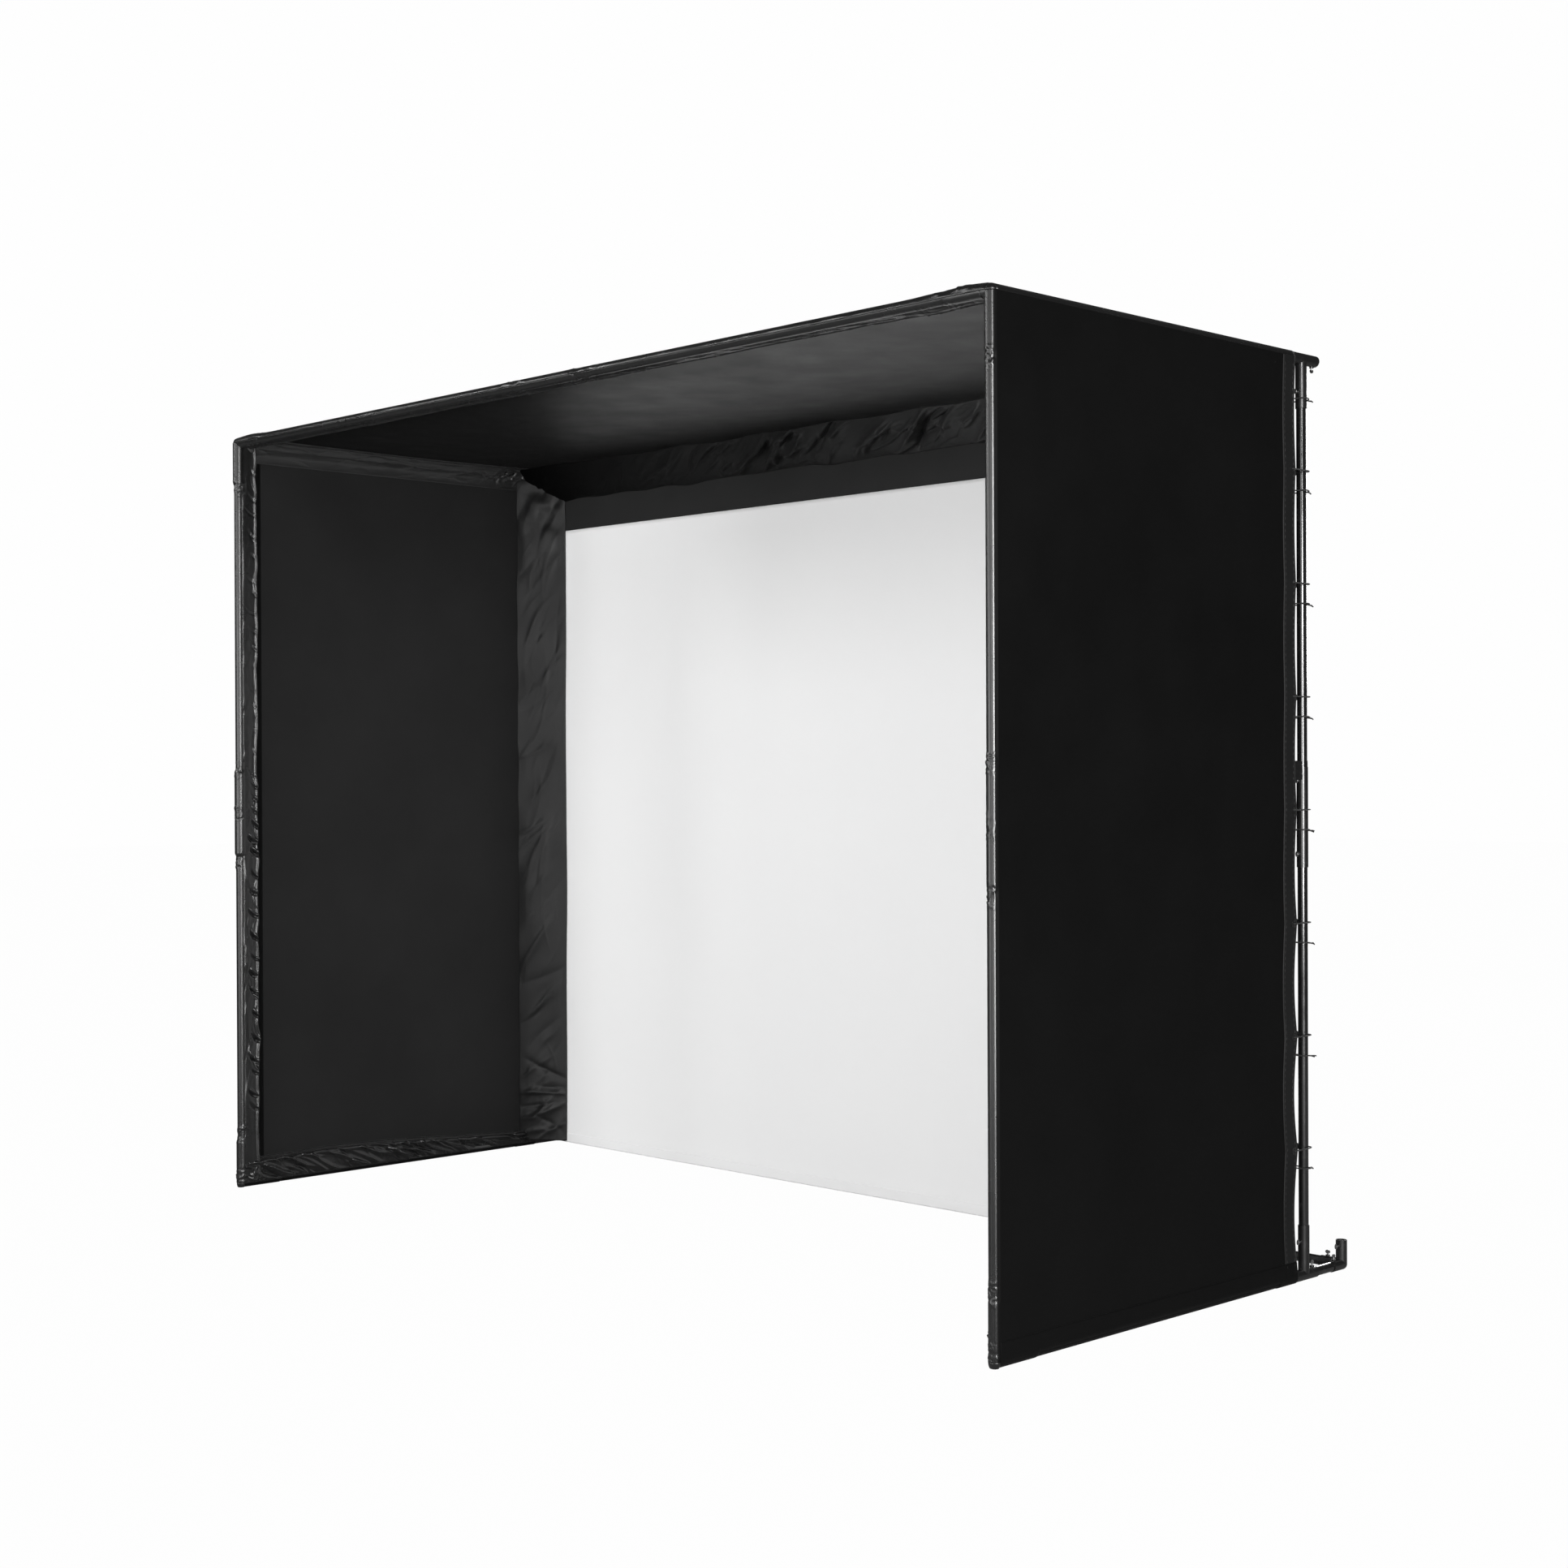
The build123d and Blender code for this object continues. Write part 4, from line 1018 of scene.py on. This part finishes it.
def screen_cords():
    """Loops from the screen's eyelets round the frame, with the knot's two tails."""
    eyelet_y = SCREEN_Y - REAR_Y
    rng = np.random.default_rng(201)
    heights = [SCREEN_LACE_LOW + SCREEN_LACE_PITCH * i for i in range(LACES_PER_POST)]
    heights.append(SCREEN_LACE_HIGH)
    long_tailed = heights[1:6:2]
    tops = [sign * LACE_PITCH_X * (i + 0.5) for i in range(4) for sign in (-1, 1)]

    def loop(droop):
        ring = [(LACE_IN, eyelet_y), (LACE_IN - 0.004, -0.014), (LACE_IN - 0.019, -LOOP_HALF),
                (0.030, -LOOP_HALF), (0.0, -0.0215), (-0.016, -0.0165), (-0.0215, 0.0), (-0.016, 0.0165),
                (0.0, 0.0215), (0.03, 0.0205), (LACE_IN - 0.017, 0.012), (LACE_IN - 0.003, eyelet_y + 0.006)]
        path = rounded(ring + ring[:1], 5)[:-1]
        return [(n, y, -droop * max(0.0, y / 0.02)) for n, y in path]

    def tails(droop, tail):
        """Two free ends behind the tube, springing from the knot."""
        out = []
        for spread in (-1, 1):
            lean = rng.uniform(-0.006, 0.006)
            out.append(rounded([(-0.004, 0.0205, -droop), (-0.006, 0.030, -droop - 0.001),
                                (-0.008 + lean, 0.038, -droop - 0.002 + spread * 0.001),
                                (-0.009 + lean, 0.021 + tail, -droop - 0.004 + spread * 0.0018)], 5))
        return out

    def add_all(sheet, place, droop, tail=TAIL):
        sheet.add_tube([place(*q) for q in loop(droop)], CORD_R, True)
        for path in tails(droop, tail):
            sheet.add_tube([place(*q) for q in path], CORD_R)

    for side, sign in SIDES.items():
        sheet = Sheet()
        for z in heights:
            def place(n, y, up, z=z):
                return sign * (POST_X - n), REAR_Y + y, z + up
            tail = TAIL if z in long_tailed else SHORT_TAIL
            add_all(sheet, place, rng.uniform(0.001, 0.004), tail)
        piece = sheet.build(f"{side}_screen_cords", CORD)
        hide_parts("screen_bungee_cords")
        stretch(piece, "elastic_cord", (sign * (POST_X - 0.020), 0, 1), (sign * (POST_X - 0.046), 0, 1))
    sheet = Sheet()
    for x in tops:
        def place(n, y, up, x=x):
            return x + up, REAR_Y + y, TOP_Z - n
        add_all(sheet, place, 0.0)
    piece = sheet.build("top_screen_cords", CORD)
    stretch(piece, "elastic_cord", (0, 0, TOP_Z - 0.020), (0, 0, TOP_Z - 0.046))

    # Hem loops lie along y, from the skirt's eyelets round the foot rail.
    sheet = Sheet()
    skirt_z = screen_low.z + 0.0006
    r = TUBE_R + CORD_R + 0.0003
    for x in tops:
        ring = [(FOOT_Y + r * math.sin(t), LOW_Z + r * math.cos(t)) for t in np.linspace(0, math.pi, 13)]
        ring += [(FOOT_Y - 0.09, 0.5 * (LOW_Z - r + skirt_z) - 0.002), (HEM_EYELET + 0.004, skirt_z - 0.0045),
                 (HEM_EYELET - 0.0035, skirt_z), (HEM_EYELET + 0.004, skirt_z + 0.0045),
                 (FOOT_Y - 0.09, 0.5 * (LOW_Z + r + skirt_z) + 0.002)]
        ring = rounded(ring + ring[:1], 4)[:-1]
        sheet.add_tube([(x, y, max(z, CORD_R + 0.0002)) for y, z in ring], CORD_R, True)
    piece = sheet.build("hem_screen_cords", CORD)
    stretch(piece, "elastic_cord", (0, FOOT_Y - 0.065, 0), (0, FOOT_Y - 0.15, 0))


screen_cords()

# ---- finishes of the CAD pieces that stay ----
SHARP_ABOVE = math.radians(35)
# The finish goes by a word in the node's name; everything else is a painted tube.
FINISH = {"corner": FITTING, "coupler": FITTING, "screw": STEEL, "grommets": EYELET, "balls": PLASTIC,
          "cords": CORD}
for name, node in frame["nodes"].items():
    chosen = TUBE
    for word, material in FINISH.items():
        if word in name:
            chosen = material
    node.data.materials.clear()
    node.data.materials.append(chosen)
    node.data.shade_smooth()
    node.data.set_sharp_from_angle(angle=SHARP_ABOVE)


# ---- floor, light and camera ----
def area_light(name, place, target, size, power):
    """A soft box aimed at a point."""
    data = bpy.data.lights.new(name, "AREA")
    data.shape = "RECTANGLE"
    data.size, data.size_y = size
    data.energy = power
    lamp = bpy.data.objects.new(name, data)
    lamp.location = place
    aim = Vector(target) - Vector(place)
    lamp.rotation_euler = aim.to_track_quat("-Z", "Y").to_euler()
    lamp.visible_camera = False
    bpy.context.scene.collection.objects.link(lamp)


PAPER = 0.991  # brightness of the white surroundings as the camera sees them
DIM = 0.05  # and as everything else sees the sky
FLOOR_HALF = 40.0
FLOOR_GLOW = 0.995  # share of the floor's colour that doesn't depend on the light


def floor():
    """A pale floor, seen by the camera as nearly white."""
    n = Nodes("floor_pale")
    n.set(Roughness=0.9, Specular_IOR_Level=0.05)
    n.vary("Base Color", n.noise(0.8, 2.0), (0.3, 0.31), (0.7, 0.34))
    glow = n.add("ShaderNodeEmission")
    glow.inputs["Color"].default_value = (1, 1, 1, 1)
    glow.inputs["Strength"].default_value = PAPER
    mix = n.add("ShaderNodeMixShader")
    mix.inputs["Fac"].default_value = FLOOR_GLOW
    n.link(n.shader.outputs["BSDF"], mix.inputs[1])
    n.link(glow.outputs["Emission"], mix.inputs[2])
    seen = n.add("ShaderNodeLightPath").outputs["Is Camera Ray"]
    pick = n.add("ShaderNodeMixShader")
    n.link(seen, pick.inputs["Fac"])
    n.link(n.shader.outputs["BSDF"], pick.inputs[1])
    n.link(mix.outputs["Shader"], pick.inputs[2])
    n.link(pick.outputs["Shader"], n.tree.nodes["Material Output"].inputs["Surface"])
    mesh = bpy.data.meshes.new("floor")
    corners = [(x * FLOOR_HALF, y * FLOOR_HALF, 0) for x, y in ((-1, -1), (1, -1), (1, 1), (-1, 1))]
    mesh.from_pydata(corners, [], [(0, 1, 2, 3)])
    obj = bpy.data.objects.new("floor", mesh)
    obj.data.materials.append(n.material)
    bpy.context.scene.collection.objects.link(obj)


def world():
    """White to the camera, a dim studio to everything else."""
    w = bpy.data.worlds.new("studio")
    bpy.context.scene.world = w
    w.use_nodes = True
    tree = w.node_tree
    tree.nodes.clear()
    out = tree.nodes.new("ShaderNodeOutputWorld")
    path = tree.nodes.new("ShaderNodeLightPath")
    mix = tree.nodes.new("ShaderNodeMixShader")
    tree.links.new(path.outputs["Is Camera Ray"], mix.inputs["Fac"])
    for slot, strength in zip(mix.inputs[1:], (DIM, PAPER)):
        sky = tree.nodes.new("ShaderNodeBackground")
        sky.inputs["Color"].default_value = (1, 1, 1, 1)
        sky.inputs["Strength"].default_value = strength
        tree.links.new(sky.outputs["Background"], slot)
    tree.links.new(mix.outputs["Shader"], out.inputs["Surface"])


# The camera stands this many heights from the front left bottom corner, across, back and up.
CAMERA_AT = (2.6868, -1.5920, 0.5490)
CAMERA_YAW, CAMERA_PITCH, CAMERA_ROLL = 45.729, -0.256, -0.244  # degrees
LENS, SENSOR = 52.184, 36.0


def camera():
    """The main view."""
    height = TOP_Z + WRAP_R
    corner = Vector((-POST_X - WRAP_R, FRONT_Y - WRAP_R, 0))
    data = bpy.data.cameras.new("camera")
    data.sensor_width, data.lens, data.clip_end = SENSOR, LENS, 200
    obj = bpy.data.objects.new("camera", data)
    turn = (Matrix.Rotation(math.radians(CAMERA_YAW), 4, "Z")
            @ Matrix.Rotation(math.radians(90 + CAMERA_PITCH), 4, "X")
            @ Matrix.Rotation(math.radians(CAMERA_ROLL), 4, "Z"))
    obj.matrix_world = Matrix.Translation(corner + Vector(CAMERA_AT) * height) @ turn
    bpy.context.scene.collection.objects.link(obj)
    bpy.context.scene.camera = obj


floor()
world()
camera()

# Soft boxes: place, target, width and height in metres, watts.
LIGHTS = {
    "key": ((-0.6, -8.0, 2.0), (0, 0.6, 1.3), (6.0, 3.4), 415),
    "front": ((4.6, -7.0, 2.2), (-1.6, 0.4, 1.5), (2.5, 3.2), 110),
    "fill": ((7.4, -3.35, 1.8), (-1.5, 0.4, 1.4), (1.6, 2.2), 760),
    "post": ((7.15, -3.65, 4.4), (1.8, 0.2, 2.2), (0.7, 1.6), 150),
    "rail": ((-6.0, -6.5, 5.2), (0, -0.8, 2.76), (1.6, 2.4), 270),
    "back": ((-1.5, 9.0, 3.6), (0, 0.6, 1.3), (3.0, 3.0), 260),
}
for name, (place, target, size, power) in LIGHTS.items():
    area_light(name, place, target, size, power)
bpy.context.scene.view_settings.view_transform = "Standard"
